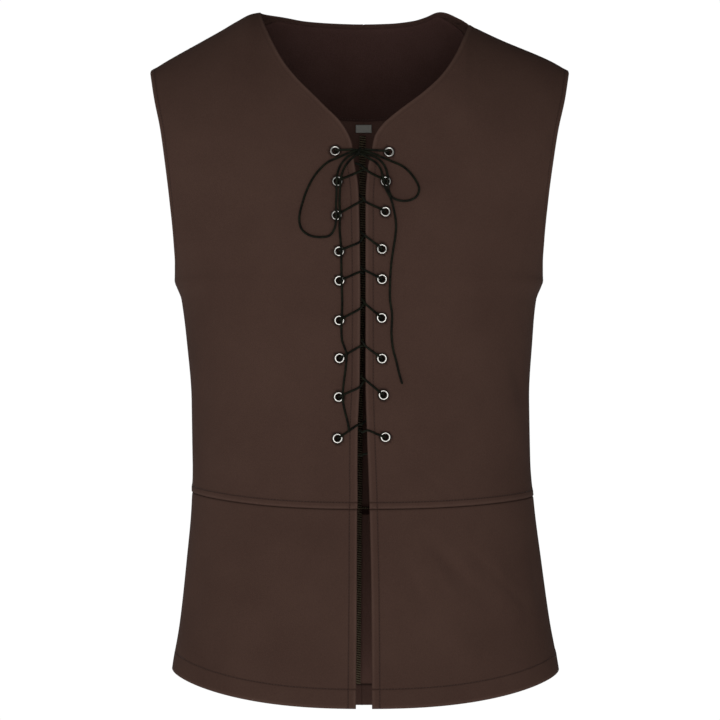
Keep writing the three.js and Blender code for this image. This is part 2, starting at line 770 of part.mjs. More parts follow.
// Half of the lacing: from the bottom, behind the opening, up to the eyelet next to the knot.
function laceHalf(side) {
  const bottom = EYELETS.rightHeight.length - 1;
  const own = side === RIGHT ? "right" : "left";
  const first = new THREE.Vector2(EYELETS[`${own}Across`][bottom], EYELETS[`${own}Height`][bottom]);
  const sag = new THREE.Vector2(side * SEAM_GAP * 0.6, first.y - BOTTOM_SAG);
  const points = [0, 0.3, 0.6].map((f) => {
    return frontPoint(lerp(sag.x, first.x, f), lerp(sag.y, first.y, f * f), INTO_EYELET[0][1]).at;
  });
  const down = new THREE.Vector2(-side, -1).normalize();
  for (const [r, lift] of INTO_EYELET) {
    const p = first.clone().addScaledVector(down, r);
    points.push(frontPoint(p.x, p.y, lift).at);
  }
  let from = side;
  for (let row = bottom; row >= 1; row -= 1) {
    points.push(...strand(from, row));
    from = -from;
  }
  const top = from === RIGHT ? "right" : "left";
  const eyelet = new THREE.Vector2(EYELETS[`${top}Across`][0], EYELETS[`${top}Height`][0]);
  const knotEnd = new THREE.Vector2(KNOT.across + from * (KNOT.size[0] + 0.5), KNOT.height + LACE);
  const out = knotEnd.clone().sub(eyelet).normalize();
  for (const [r, lift] of OUT_OF_EYELET) {
    const p = eyelet.clone().addScaledVector(out, r);
    points.push(frontPoint(p.x, p.y, lift).at);
  }
  const last = eyelet.clone().lerp(knotEnd, 0.65);
  points.push(frontPoint(last.x, last.y, LACE).at);
  points.push(frontPoint(knotEnd.x, knotEnd.y, 1.3 * LACE).at);
  return cord(points, LACE_SIDES.laced);
}

// The knot: a plain lump of the cord's turns, on the opening's edge at the top of the lacing.
function knotGeometry() {
  return new THREE.SphereGeometry(1, 12, 8).scale(KNOT.size[0], KNOT.size[2], KNOT.size[1]);
}

const vest = new THREE.Group();
vest.name = "lace_up_vest";

const FINISHES = Object.fromEntries(
  Object.entries(COLOURS).map(([name, color]) => [
    name,
    new THREE.MeshStandardMaterial({
      color,
      roughness: name === "nickel" ? 0.28 : 0.9,
      metalness: name === "nickel" ? 1 : 0,
    }),
  ]),
);

function add(name, geometry, finish) {
  const mesh = new THREE.Mesh(geometry, FINISHES[finish]);
  mesh.name = name;
  vest.add(mesh);
  return mesh;
}

for (const [hand, side] of [["right", RIGHT], ["left", LEFT]]) {
  add(`front_${hand}`, punchedFront(side), "suede");
  add(`back_${hand}`, wall(upperBackPlaces(side), CLOTH, ["top", "bottom", "side", "middle"]), "suede");
  add(`waist_front_${hand}`, waistPanel(FRONT, side), "suede");
  add(`waist_back_${hand}`, waistPanel(BACK, side), "suede");
  eyeletPlaces(side).forEach((place, i) => {
    standOn(add(`eyelet_${hand}_${i + 1}`, eyeletGeometry(), "nickel"), place);
  });
  add(`lace_${hand}`, laceHalf(side), "lace");
}
add("back_neck_facing", neckFacing(), "facing");
add("size_label", sizeLabel(), "label");

const knotPlace = frontPoint(KNOT.across, KNOT.height, KNOT.lift);
standOn(add("bow_knot", knotGeometry(), "lace"), knotPlace);
for (const [name, rows] of Object.entries(BOW)) {
  const points = rows.map(([across, height, lift]) => frontPoint(across, height, lift).at);
  add(name, cord(points, LACE_SIDES.bow), "lace");
}

export default vest;
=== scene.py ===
# A man's lace-up vest in brown faux suede, filled out as it is worn, with no wearer in it.
# The frame is the CAD's: +Z up, the front faces -Y, and the wearer's right is at -X.
# Sizes of the vest are in millimetres, and become metres where a mesh is made.
import math

import bpy
import numpy as np
from mathutils import Matrix, Vector


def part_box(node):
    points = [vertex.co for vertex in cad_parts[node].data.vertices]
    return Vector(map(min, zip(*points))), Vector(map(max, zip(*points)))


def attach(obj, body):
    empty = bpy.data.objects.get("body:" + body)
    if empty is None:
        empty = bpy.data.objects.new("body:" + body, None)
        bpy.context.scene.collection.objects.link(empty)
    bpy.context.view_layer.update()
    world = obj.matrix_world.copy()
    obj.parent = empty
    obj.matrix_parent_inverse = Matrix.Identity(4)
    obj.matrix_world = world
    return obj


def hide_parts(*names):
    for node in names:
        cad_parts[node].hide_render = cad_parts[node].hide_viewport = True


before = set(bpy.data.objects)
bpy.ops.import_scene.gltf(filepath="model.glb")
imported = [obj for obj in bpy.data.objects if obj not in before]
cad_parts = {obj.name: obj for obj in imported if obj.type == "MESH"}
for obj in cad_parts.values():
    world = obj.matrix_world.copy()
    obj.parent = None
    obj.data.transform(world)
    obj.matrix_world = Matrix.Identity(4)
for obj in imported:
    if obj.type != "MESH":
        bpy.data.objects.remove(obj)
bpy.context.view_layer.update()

# Studio: a white room whose light comes level from all round rather than from above, and less
# from the wearer's left, one large soft lamp beside the camera, a plain pale floor, and a camera
# that stands level 2.9 m in front. The wall is seen brighter than it lights, as if lit apart.
scene = bpy.context.scene
scene.view_settings.view_transform = "Standard"
scene.view_settings.look = "None"

CAMERA_PLACE = (-0.0025, -2.925, -0.3373)
CAMERA_LENS = 138.54
FLOOR_HEIGHT = -1.05
FLOOR_SIZE = 4.0
WALL_SEEN = 1.02
LIGHT_OVERHEAD = 0.05
LIGHT_LEVEL = 0.95
LIGHT_LEAN = 0.4
FLOOR_GLOW = 0.45
LAMP = {"place": (0.1, -2.5, -0.7), "size": 1.4, "watts": 27}


def socket_colour(code):
    """A hex sRGB colour as the linear values that a socket takes."""
    parts = [int(code[i : i + 2], 16) / 255 for i in (1, 3, 5)]
    linear = [p / 12.92 if p <= 0.04045 else ((p + 0.055) / 1.055) ** 2.4 for p in parts]
    return (*linear, 1)


def add_node(tree, kind, sockets=None, **settings):
    """Adds a node with its settings. A socket is given a value, or the socket that feeds it."""
    made = tree.nodes.new(kind)
    for name, value in settings.items():
        setattr(made, name, value)
    for name, value in (sockets or {}).items():
        if isinstance(value, bpy.types.NodeSocket):
            tree.links.new(value, made.inputs[name])
        else:
            made.inputs[name].default_value = value
    return made


def new_finish(name, **sockets):
    """A material named for its finish, with constant values on its shader's own sockets."""
    made = bpy.data.materials.new(name)
    made.use_nodes = True
    shader = made.node_tree.nodes["Principled BSDF"]
    for socket, value in sockets.items():
        shader.inputs[socket.replace("_", " ")].default_value = value
    return made, made.node_tree, shader


room = bpy.data.worlds.new("white_room")
room.use_nodes = True
room_tree = room.node_tree
room_way = add_node(room_tree, "ShaderNodeTexCoord")
room_climb = add_node(
    room_tree,
    "ShaderNodeVectorMath",
    {0: room_way.outputs["Generated"], 1: (LIGHT_LEAN, 0, 1)},
    operation="DOT_PRODUCT",
)
room_light = add_node(
    room_tree,
    "ShaderNodeMapRange",
    {
        "Value": room_climb.outputs["Value"],
        "From Min": -LIGHT_LEAN,
        "To Min": LIGHT_LEVEL,
        "To Max": LIGHT_OVERHEAD,
    },
)
room_ray = add_node(room_tree, "ShaderNodeLightPath")
room_strength = add_node(
    room_tree,
    "ShaderNodeMix",
    {0: room_ray.outputs["Is Camera Ray"], 2: room_light.outputs["Result"], 3: WALL_SEEN},
)
room_tree.links.new(room_strength.outputs[0], room_tree.nodes["Background"].inputs["Strength"])
room_tree.nodes["Background"].inputs["Color"].default_value = (1, 1, 1, 1)
scene.world = room

lamp_data = bpy.data.lights.new("soft_lamp", "AREA")
lamp_data.size = LAMP["size"]
lamp_data.energy = LAMP["watts"]
lamp = bpy.data.objects.new("soft_lamp", lamp_data)
lamp.location = LAMP["place"]
lamp.rotation_euler = (Vector((0, 0, -0.3)) - lamp.location).to_track_quat("-Z", "Y").to_euler()
scene.collection.objects.link(lamp)

camera_data = bpy.data.cameras.new("camera")
camera_data.sensor_width = 36
camera_data.lens = CAMERA_LENS
camera = bpy.data.objects.new("camera", camera_data)
camera.location = CAMERA_PLACE
camera.rotation_euler = (math.radians(90), 0, 0)
scene.collection.objects.link(camera)
scene.camera = camera

bpy.ops.object.select_all(action="DESELECT")
bpy.ops.mesh.primitive_plane_add(size=FLOOR_SIZE, location=(0, 0, FLOOR_HEIGHT))
floor = bpy.context.object
floor.name = "studio_floor"
# Matt white paint: no gloss, so nothing of the vest is mirrored in it. It glows, as painted
# light from the floor, so that some light comes up into the hollow of the vest.
glowing_floor_paint, floor_tree, floor_shader = new_finish(
    "glowing_matt_white_paint", Roughness=0.95, Emission_Color=(1, 1, 1, 1), Emission_Strength=FLOOR_GLOW
)
floor_grain = add_node(floor_tree, "ShaderNodeTexNoise", {"Scale": 40.0, "Detail": 3.0})
floor_tone = add_node(
    floor_tree,
    "ShaderNodeMix",
    {"Factor": floor_grain.outputs["Fac"]},
    data_type="RGBA",
)
floor_tone.inputs[6].default_value = socket_colour("#f3f3f2")
floor_tone.inputs[7].default_value = socket_colour("#f7f7f6")
floor_tree.links.new(floor_tone.outputs[2], floor_shader.inputs["Base Color"])
floor.data.materials.append(glowing_floor_paint)

# Lace: about 2 m of round waxed black cotton cord, 2.3 mm thick, laced up through nine pairs of
# eyelets and tied in a bow at the foot of the neck. It lies on the fronts' cloth, so the form
# that the vest is filled out to comes with it.
FRONT = -1
BACK = 1
RIGHT = -1
LEFT = 1
SIDES = {"right": RIGHT, "left": LEFT}
CLOTH = 1.6
SECTION_POWER = 2.4
SHOULDER_ROUND = 120
UNDERARM = -253
ARC_RADIUS = 155


def table(names, rows):
    """A table's columns by name, from one row of numbers for each place."""
    return dict(zip(names, np.array(rows, float).T))


# Section: depth to the front and to the back of the middle, half-width at the side seam
# and how far the section leans to the wearer's left.
SECTIONS = table(
    ["height", "half", "front", "back", "lean"],
    [
        [-720, 211, 119, 118, 3.6], [-660, 203.2, 117, 114, 3.2], [-612, 194.8, 115, 109, 2.6],
        [-548, 186.8, 112.5, 102, 1.6], [-490, 180.5, 111, 96, 0.5], [-443, 177.9, 112, 95, -1],
        [-380, 177.8, 117, 100, -2.1], [-316, 182.1, 122, 107, -3], [-274, 186.8, 124.5, 112, -3.7],
        [UNDERARM, 193.7, 125, 113, -3.7], [-172, 193.7, 120.5, 113, -3.7],
        [-120, 193.7, 113, 108, -3.4], [-60, 193.7, 100, 95, -2.9], [0, 193.7, 88, 78, -2.9],
        [30, 193.7, 84, 66, -2.9],
    ],
)

# Armhole: reach of its edge from the middle, and its place round the body in degrees.
ARMHOLE = table(
    ["height", "reach", "angle"],
    [
        [UNDERARM, 193.7, 90], [-250, 193.2, 86], [-243, 192.4, 80.5], [-233, 191.8, 75.5],
        [-213, 192.5, 69], [-172, 196.1, 63], [-131, 201.3, 60.5], [-99, 206.5, 60],
        [-67, 214, 60], [-44, 218.6, 60], [-36, 220.3, 60],
    ],
)

# The line of the shoulders' tops, seen from the front.
RIDGE = table(
    ["across", "height"],
    [
        [-223.2, -32.5], [-206.4, -22.2], [-168.4, -1], [-149.4, 9.6], [-131.4, 20.2],
        [-117, 27.4], [-107, 29], [0, 78], [81, 40], [105, 25], [112.5, 16.3], [123, 11],
        [145.2, 0.6], [196.9, -21.2], [217.4, -32.5],
    ],
)

# Edges of the fronts: hem, opening and V neck, from below up to the neck point.
FRONT_EDGE = {
    RIGHT: table(
        ["height", "across"],
        [
            [-700, -6.7], [-601, -5.8], [-487, -5.2], [-407, -4.6], [-360, -2.7], [-277, -2.1],
            [-175, -3.5], [-159, -4.4], [-137, -8.2], [-118.5, -10.3], [-107.7, -14.1],
            [-93.7, -22.9], [-79.7, -36.6], [-63.9, -52.2], [-47.6, -68], [-28.8, -82],
            [-2.8, -95.4], [20, -104.6], [29, -107],
        ],
    ),
    LEFT: table(
        ["height", "across"],
        [
            [-700, 9.7], [-601, 9.2], [-487, 7.1], [-407, 4.3], [-360, 3], [-277, 3], [-175, 3],
            [-141, 5.5], [-123.4, 9.3], [-109.6, 12.3], [-97.8, 20], [-85.8, 33], [-73.8, 48.6],
            [-61.7, 64.2], [-45.1, 81], [-23.7, 95.3], [-5.8, 103.8], [8.6, 110], [16.3, 112.5],
        ],
    ),
}

# Creases and broad soft folds: a line from one place to another, with its width and depth. A
# place is degrees round from the front middle, and a height. Below zero is a trough.
FOLDS = table(
    ["side", "from_angle", "from_height", "to_angle", "to_height", "width", "depth"],
    [
        [LEFT, 12, -500, 34, -590, 13, -2.2], [LEFT, 20, -590, 31, -660, 14, 1.8],
        [LEFT, 40, -510, 52, -640, 16, 1.6], [LEFT, 52, -300, 78, -420, 15, -1.8],
        [RIGHT, 48, -310, 76, -430, 15, -1.6], [RIGHT, 30, -560, 44, -650, 16, 1.4],
        [RIGHT, 58, -500, 66, -630, 17, -1.8], [LEFT, 68, -500, 74, -640, 16, -1.6],
        [RIGHT, 100, -290, 128, -400, 16, -1.8], [LEFT, 102, -300, 130, -420, 16, -2],
        [RIGHT, 122, -520, 130, -680, 18, 2], [LEFT, 118, -530, 124, -670, 17, 1.8],
        [RIGHT, 156, -430, 158, -560, 15, -1.6], [LEFT, 152, -440, 156, -580, 16, -1.8],
    ],
)

# Narrow creases of the limp cloth, in the same columns, above and below the waist seam.
CREASES = table(
    list(FOLDS),
    [
        [LEFT, 5, -375, 15, -452, 5, -0.6], [LEFT, 8, -428, 34, -502, 6, -0.7],
        [LEFT, 3, -497, 21, -625, 6, -0.8], [LEFT, 9, -492, 42, -604, 6, -0.8],
        [LEFT, 18, -500, 65, -615, 7, -0.8], [LEFT, 14, -520, 30, -600, 5, 0.6],
        [RIGHT, 60, -300, 80, -345, 6, -0.6], [RIGHT, 70, -270, 82, -300, 5, -0.5],
        [RIGHT, 10, -470, 20, -500, 5, -0.4], [LEFT, 100, -270, 118, -330, 6, -0.7],
        [RIGHT, 98, -275, 115, -335, 6, -0.7], [RIGHT, 110, -440, 140, -500, 7, -0.7],
        [LEFT, 108, -445, 138, -500, 7, -0.8], [RIGHT, 140, -520, 165, -600, 7, -0.7],
        [LEFT, 135, -515, 160, -590, 7, -0.7],
    ],
)


def read(rows, key, column, place):
    """A table's column at places between its rows, smooth and with no overshoot."""
    keys, values = rows[key], rows[column]
    place = np.clip(place, keys[0], keys[-1])
    slope = np.diff(values) / np.diff(keys)
    before, after = slope[:-1], slope[1:]
    same = before * after > 0
    inner = np.zeros_like(before)
    inner[same] = 2 * (before * after)[same] / (before + after)[same]
    tangent = np.concatenate([slope[:1], inner, slope[-1:]])
    i = np.clip(np.searchsorted(keys, place, side="right") - 1, 0, len(keys) - 2)
    step = keys[i + 1] - keys[i]
    t = (place - keys[i]) / step
    rise = step * (tangent[i] * t * (1 - t) ** 2 - tangent[i + 1] * t * t * (1 - t))
    return values[i] + (values[i + 1] - values[i]) * t * t * (3 - 2 * t) + rise


def share(f):
    """Width or depth share of a section, from the sine or cosine of an angle from its middle."""
    return np.sign(f) * np.abs(f) ** (2 / SECTION_POWER)


def section_at(height):
    half, front, back, lean = (
        read(SECTIONS, "height", column, height) for column in ("half", "front", "back", "lean")
    )
    edge = np.radians(read(ARMHOLE, "height", "angle", height))
    reach = read(ARMHOLE, "height", "reach", height)
    half = np.where(np.asarray(height) > UNDERARM, reach / share(np.sin(edge)), half)
    return half, front, back, lean


def ridge_at(across):
    return read(RIDGE, "across", "height", across)


def angle_at(side, across, height):
    """Degrees round the body, from the middle of the front or the back, of a point across it."""
    half, _, _, lean = section_at(height)
    out = side * (across - lean) / half
    return np.sign(out) * np.degrees(np.arcsin(np.minimum(1, np.abs(out) ** (SECTION_POWER / 2))))


def across_at(side, angle, height):
    half, _, _, lean = section_at(height)
    return lean + side * half * share(np.sin(np.radians(angle)))


def down_at(drop):
    """How far round over the shoulder a place is, from its drop below the shoulders' line."""
    part = np.maximum(drop, 0) / SHOULDER_ROUND
    return np.where(part < 1, np.arccos(np.clip(1 - part, -1, 1)), np.pi / 2 + part - 1)


def drop_at(down):
    over = 1 - np.cos(np.minimum(down, np.pi / 2)) + np.maximum(down - np.pi / 2, 0)
    return SHOULDER_ROUND * over


def level(x, y, z):
    """The body's level at any point: 1 on its surface, less inside."""
    half, front, back, lean = section_at(z)
    drop = np.clip((ridge_at(x) - z) / SHOULDER_ROUND, 0, 1)
    depth = np.maximum(1, np.where(y < 0, front, back) * np.sqrt(1 - (1 - drop) ** 2))
    return (np.abs(x - lean) / half) ** SECTION_POWER + (np.abs(y) / depth) ** SECTION_POWER


def outward(points):
    """Directions out of the cloth. On the shoulders' tops they stand square to their line."""
    x, y, z = np.moveaxis(points, -1, 0)
    e = 0.5
    slopes = [
        level(x + e, y, z) - level(x - e, y, z),
        level(x, y + e, z) - level(x, y - e, z),
        level(x, y, z + e) - level(x, y, z - e),
    ]
    tilt = (ridge_at(x - e) - ridge_at(x + e)) / (2 * e)
    on_top = (ridge_at(x) - z < e)[..., None]
    normal = np.where(on_top, np.stack([tilt, 0 * x, 1 + 0 * x], -1), np.stack(slopes, -1))
    return normal / np.linalg.norm(normal, axis=-1, keepdims=True)


def bell(t):
    """A smooth hump, 1 at its middle."""
    return np.exp(-(t**2))


def fold_height(folds, face, side, angle, height):
    """Height of all the folds together at places of the cloth."""
    girth = np.radians(angle if face == FRONT else 180 - angle) * ARC_RADIUS
    total = np.zeros(np.broadcast(girth, height).shape)
    for fold_side, angle1, height1, angle2, height2, width, depth in zip(*folds.values()):
        if fold_side != side:
            continue
        start = np.radians(angle1) * ARC_RADIUS
        run = np.array([np.radians(angle2 - angle1) * ARC_RADIUS, height2 - height1])
        off_girth, off_height = girth - start, height - height1
        along = (off_girth * run[0] + off_height * run[1]) / (run @ run)
        aside = (off_girth * run[1] - off_height * run[0]) / math.hypot(*run) / width
        inside = (along > 0) & (along < 1)
        total += np.where(inside, depth * np.sin(np.pi * along) ** 2 * bell(aside), 0)
    return total


def cloth_places(face, side, angle, down):
    """Places on the cloth's outer face, and the directions out of it there."""
    height = -drop_at(down)
    for _ in range(6):
        across = across_at(side, angle, height)
        height = ridge_at(across) - drop_at(down)
    _, front, back, _ = section_at(height)
    depth = (front if face == FRONT else back) * share(np.cos(np.radians(angle)))
    depth = depth * np.sin(np.minimum(down, np.pi / 2))
    points = np.stack(np.broadcast_arrays(across, face * depth, height), -1)
    normals = outward(points)
    folds = fold_height(FOLDS, face, side, angle, height)
    folds = folds + fold_height(CREASES, face, side, angle, height)
    return points + normals * folds[..., None], normals


def front_place(across, height, lift=0.0):
    """A place on the front by its distance across, lifted out of the cloth."""
    _, _, _, lean = section_at(height)
    side = RIGHT if across < lean else LEFT
    angle = angle_at(side, across, height)
    down = down_at(ridge_at(across) - height)
    point, normal = cloth_places(FRONT, side, np.array(angle), np.array(down))
    return point + normal * lift


# Eyelet pairs from the neck down: where both are, the height where each strand leaves its
# own front, and the height where it passes the middle of the opening.
EYELETS = table(
    [
        "right_across", "right_height", "right_edge", "right_middle",
        "left_across", "left_height", "left_edge", "left_middle",
    ],
    [
        [-27.7, -125, 0, 0, 27, -126.2, 0, 0],
        [-25.4, -156.2, -148, -145, 23.7, -156.2, -146, -139.6],
        [-26.2, -190.8, -178, -176.6, 23.3, -187.2, -177, -172.2],
        [-23.6, -227.3, -218, -213.8, 19.8, -225, -212, -209.5],
        [-23.3, -257, -248.5, -249.5, 19.8, -255.5, -247, -245.5],
        [-23.4, -297.1, -285, -281.6, 19.5, -294.7, -280.5, -277],
        [-23.2, -335.4, -323.5, -323, 19.8, -335.8, -323, -319],
        [-24, -374.7, -364.5, -360.6, 21.4, -372.7, -357.5, -355.5],
        [-25.3, -416.8, -403, -402.1, 23.4, -415.5, -408.5, -410.7],
    ],
)

# The bow's cords, as they lie on the fronts: across, height, and lift off the cloth.
BOW = {
    "bow_loop_right": [
        [-9.8, -127, 4.4], [-15.7, -128.8, 3.6], [-24.3, -132.4, 2], [-35, -137, 1.4],
        [-46.1, -147.7, 1.4], [-54.2, -161, 1.5], [-60.3, -177.3, 1.4], [-63.8, -194.6, 1.4],
        [-61.2, -205.2, 1.5], [-53.1, -211.4, 1.4], [-42, -213.2, 1.4], [-32.9, -211.4, 1.6],
        [-28.2, -204.8, 3], [-26.6, -197, 5], [-26.4, -189, 5.5], [-26.6, -180, 4],
        [-26.2, -170, 3.4], [-26, -161, 5], [-25.8, -154, 5.4], [-24.5, -146.3, 3],
        [-20.6, -137.8, 1.6], [-14.9, -131.8, 2.2], [-9.4, -128.9, 2.4],
    ],
    "bow_tail_right": [
        [-7.6, -131.2, 4], [-12.2, -135, 3.4], [-17, -140.8, 2.4], [-20.4, -148.6, 4.4],
        [-21.6, -154, 5.7], [-22.4, -161, 5.1], [-22.9, -169, 3.8], [-23.2, -178, 3.4],
        [-22.9, -187, 5.4], [-22.8, -195, 5], [-23, -206, 1.6], [-21.9, -218, 3],
        [-21.5, -226, 5.4], [-21.3, -234, 3], [-21.2, -246, 2.6], [-21, -256, 5.4],
        [-20.8, -264, 2.6], [-20.4, -280, 1.5], [-20.6, -290, 4.6], [-20.9, -297, 5.4],
        [-21.2, -306, 2.4], [-20.4, -318, 1.6], [-17.6, -325.5, 4], [-15.9, -332, 4.6],
        [-17, -345.4, 1.5], [-18.8, -359.6, 2.6], [-19.5, -367, 4.6], [-19.8, -373, 5.6],
        [-19.4, -380, 3.2], [-18, -388, 1.5], [-15, -399.6, 3], [-13.2, -409, 3.8],
    ],
    "bow_loop_left": [
        [3.4, -126.9, 4.4], [12.7, -129.4, 3.9], [19.8, -132.4, 3], [27.9, -135.4, 1.5],
        [42.1, -142.1, 1.4], [52.2, -152.8, 1.4], [57.3, -164, 1.5], [54.2, -172.2, 1.4],
        [46.1, -176.1, 1.4], [37, -175.9, 1.4], [30.2, -172.8, 1.5], [26.8, -166.2, 2.6],
        [25.4, -158, 5.4], [25.2, -150, 3.8], [21.6, -139.4, 1.5], [14.7, -133.1, 2],
        [4.4, -129, 2.4],
    ],
    "bow_tail_left": [
        [2.4, -131.2, 4], [8.4, -134.8, 3.6], [14.4, -138.8, 3.9], [18.4, -144.6, 3.4],
        [20.6, -153, 5.6], [23.4, -164.3, 4.2], [28.6, -174.6, 3.9], [31.9, -186.5, 1.5],
        [33.9, -200.7, 1.4], [32.9, -213.9, 1.4], [30.8, -227.1, 1.5], [28.8, -242.3, 1.4],
        [27.8, -260.5, 1.5], [27.8, -276.6, 1.4], [29.8, -290.8, 1.4], [29.3, -311, 1.5],
        [30.9, -326.2, 1.4], [34.4, -339.3, 1.4], [37, -350.5, 1.5], [40, -360.6, 1.4],
    ],
}

LACE = 2.3
LACE_SIDES = 14
ROUTE_STEP = 1.2
# A cord's way out of an eyelet and into one: distance towards the opening, and lift.
OUT_OF_EYELET = [(0, -0.8), (0.8, 1.4), (2.6, 3.1), (5.4, 3)]
INTO_EYELET = [(6.8, -4.2), (2.6, -4.4), (0.2, -3)]
ON_CLOTH = {"lift": 1.5, "from": 9.5}
BEHIND_CLOTH = {"lift": -3.2, "past": 2.5}
FAR_RISE = 3
SEAM_GAP = 0.3
BOTTOM_SAG = 18
KNOT = {"across": -3.0, "height": -126.6, "half": 5.8}


def toward(a, b, reach=None):
    """The direction from one flat place to another, or the place so far on the way."""
    way = (b - a) / np.hypot(*(b - a))
    return way if reach is None else a + way * reach


def eyelet_at(hand, row):
    return np.array([EYELETS[hand + "_across"][row], EYELETS[hand + "_height"][row]])


def strand(side, row):
    """One strand, from an eyelet over its own front and behind the other to the next one up."""
    own, other = ("right", "left") if side == RIGHT else ("left", "right")
    start, end = eyelet_at(own, row), eyelet_at(other, row - 1)
    edge_height = EYELETS[own + "_edge"][row]
    middle = EYELETS[own + "_middle"][row]
    edge = np.array([read(FRONT_EDGE[side], "height", "across", edge_height), edge_height])
    far_height = middle + FAR_RISE
    far = np.array([read(FRONT_EDGE[-side], "height", "across", far_height), far_height])
    gap = np.array([(edge[0] + far[0]) / 2, middle])
    back = toward(end, far)
    rows = [(toward(start, edge, reach), lift) for reach, lift in OUT_OF_EYELET]
    rows += [
        (toward(start, edge, ON_CLOTH["from"]), ON_CLOTH["lift"]),
        (edge, ON_CLOTH["lift"]),
        (gap, 0),
        (gap + (far - gap) * 0.45, BEHIND_CLOTH["lift"] / 2),
        (gap + (far - gap) * 0.88, BEHIND_CLOTH["lift"]),
        (far - back * BEHIND_CLOTH["past"], BEHIND_CLOTH["lift"] - SEAM_GAP),
    ]
    rows += [(end + back * reach, lift) for reach, lift in INTO_EYELET]
    return [front_place(*place, lift) for place, lift in rows]


def laced_half(side):
    """From the bottom, behind the opening, up to the eyelet next to the knot."""
    bottom = len(EYELETS["right_height"]) - 1
    first = eyelet_at("right" if side == RIGHT else "left", bottom)
    sag = np.array([side * SEAM_GAP * 0.6, first[1] - BOTTOM_SAG])
    points = []
    for f in (0, 0.3, 0.6):
        place = sag + (first - sag) * np.array([f, f * f])
        points.append(front_place(*place, INTO_EYELET[0][1]))
    down = np.array([-side, -1]) / math.sqrt(2)
    points += [front_place(*(first + down * reach), lift) for reach, lift in INTO_EYELET]
    turn = side
    for row in range(bottom, 0, -1):
        points += strand(turn, row)
        turn = -turn
    eyelet = eyelet_at("right" if turn == RIGHT else "left", 0)
    knot_end = np.array([KNOT["across"] + turn * (KNOT["half"] + 0.5), KNOT["height"] + LACE])
    for reach, lift in OUT_OF_EYELET:
        points.append(front_place(*toward(eyelet, knot_end, reach), lift))
    points.append(front_place(*(eyelet + (knot_end - eyelet) * 0.65), LACE))
    points.append(front_place(*knot_end, 1.3 * LACE))
    return points


def smooth_route(points, step=ROUTE_STEP):
    """The smooth line through the points, with a place on it about every step."""
    points = np.array(points)
    ends = [2 * points[0] - points[1]], [2 * points[-1] - points[-2]]
    p = np.concatenate([ends[0], points, ends[1]])
    line = []
    for a, b, c, d in zip(p, p[1:], p[2:], p[3:]):
        t1, t2, t3 = (max(1e-4, math.sqrt(np.linalg.norm(v))) for v in (b - a, c - b, d - c))
        leave = ((b - a) / t1 - (c - a) / (t1 + t2) + (c - b) / t2) * t2
        arrive = ((c - b) / t2 - (d - b) / (t2 + t3) + (d - c) / t3) * t2
        count = max(2, math.ceil(np.linalg.norm(c - b) / step))
        for t in np.arange(count) / count:
            line.append(
                b * (2 * t**3 - 3 * t**2 + 1)
                + leave * (t**3 - 2 * t**2 + t)
                + c * (3 * t**2 - 2 * t**3)
                + arrive * (t**3 - t**2)
            )
    line.append(points[-1])
    return np.array(line)


def line_length(line):
    return float(np.linalg.norm(np.diff(line, axis=0), axis=1).sum())


def distances_along(line):
    return np.concatenate([[0], np.cumsum(np.linalg.norm(np.diff(line, axis=0), axis=1))])


def unit(vectors):
    return vectors / np.maximum(1e-9, np.linalg.norm(vectors, axis=-1, keepdims=True))


def tube_rings(line, radii, sides):
    """Rings of points round a line, square to it and with no twist, and their faces."""
    line = np.asarray(line, float)
    radii = np.broadcast_to(radii, len(line))
    ways = unit(np.gradient(line, axis=0))
    up = unit(np.cross(ways[0], [0.3, 0.9, 0.31]))
    turn = np.arange(sides) / sides * 2 * np.pi
    rings = []
    for place, way, radius in zip(line, ways, radii):
        up = unit(up - way * (up @ way))
        aside = np.cross(way, up)
        ring = np.outer(np.cos(turn), up) + np.outer(np.sin(turn), aside)
        rings.append(place + ring * radius)
    count = len(line)
    index = np.arange(count * sides).reshape(count, sides)
    following = np.roll(index, -1, axis=1)
    faces = np.stack([index[:-1], following[:-1], following[1:], index[1:]], -1).reshape(-1, 4)
    caps = [tuple(index[0][::-1]), tuple(index[-1])]
    return np.concatenate(rings), [tuple(f) for f in faces] + caps


def new_piece(name, points, faces, finish, smooth=True):
    """A piece with its mesh in metres from points in millimetres, riding on the vest."""
    mesh = bpy.data.meshes.new(name)
    mesh.from_pydata((np.asarray(points) / 1000).tolist(), [], [list(map(int, f)) for f in faces])
    mesh.polygons.foreach_set("use_smooth", [smooth] * len(mesh.polygons))
    mesh.validate()
    piece = bpy.data.objects.new(name, mesh)
    scene.collection.objects.link(piece)
    mesh.materials.append(finish)
    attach(piece, "root")
    return piece


def wrap_map(piece, line, sides):
    """A cord's own map: once round for one across, and millimetres along it for the other."""
    run = distances_along(line)
    layer = piece.data.uv_layers.new(name="round_and_along")
    corners = np.empty(len(piece.data.loops), int)
    piece.data.loops.foreach_get("vertex_index", corners)
    starts = np.array([polygon.loop_start for polygon in piece.data.polygons])
    sizes = np.array([polygon.loop_total for polygon in piece.data.polygons])
    ring, place = corners // sides % len(line), corners % sides
    around = place / sides
    last = np.repeat([any(place[s : s + n] == sides - 1) for s, n in zip(starts, sizes)], sizes)
    around = np.where(last & (place == 0), 1.0, around)
    layer.data.foreach_set("uv", np.stack([around, run[ring]], -1).ravel())


def grain(tree, scale, detail, roughness=0.5):
    """Noise that is fixed to the piece, of so many grains a metre."""
    place = add_node(tree, "ShaderNodeTexCoord").outputs["Object"]
    sockets = {"Vector": place, "Scale": scale, "Detail": detail, "Roughness": roughness}
    return add_node(tree, "ShaderNodeTexNoise", sockets).outputs["Fac"]


def combine(tree, operation, *values):
    sockets = dict(enumerate(values))
    return add_node(tree, "ShaderNodeMath", sockets, operation=operation).outputs[0]


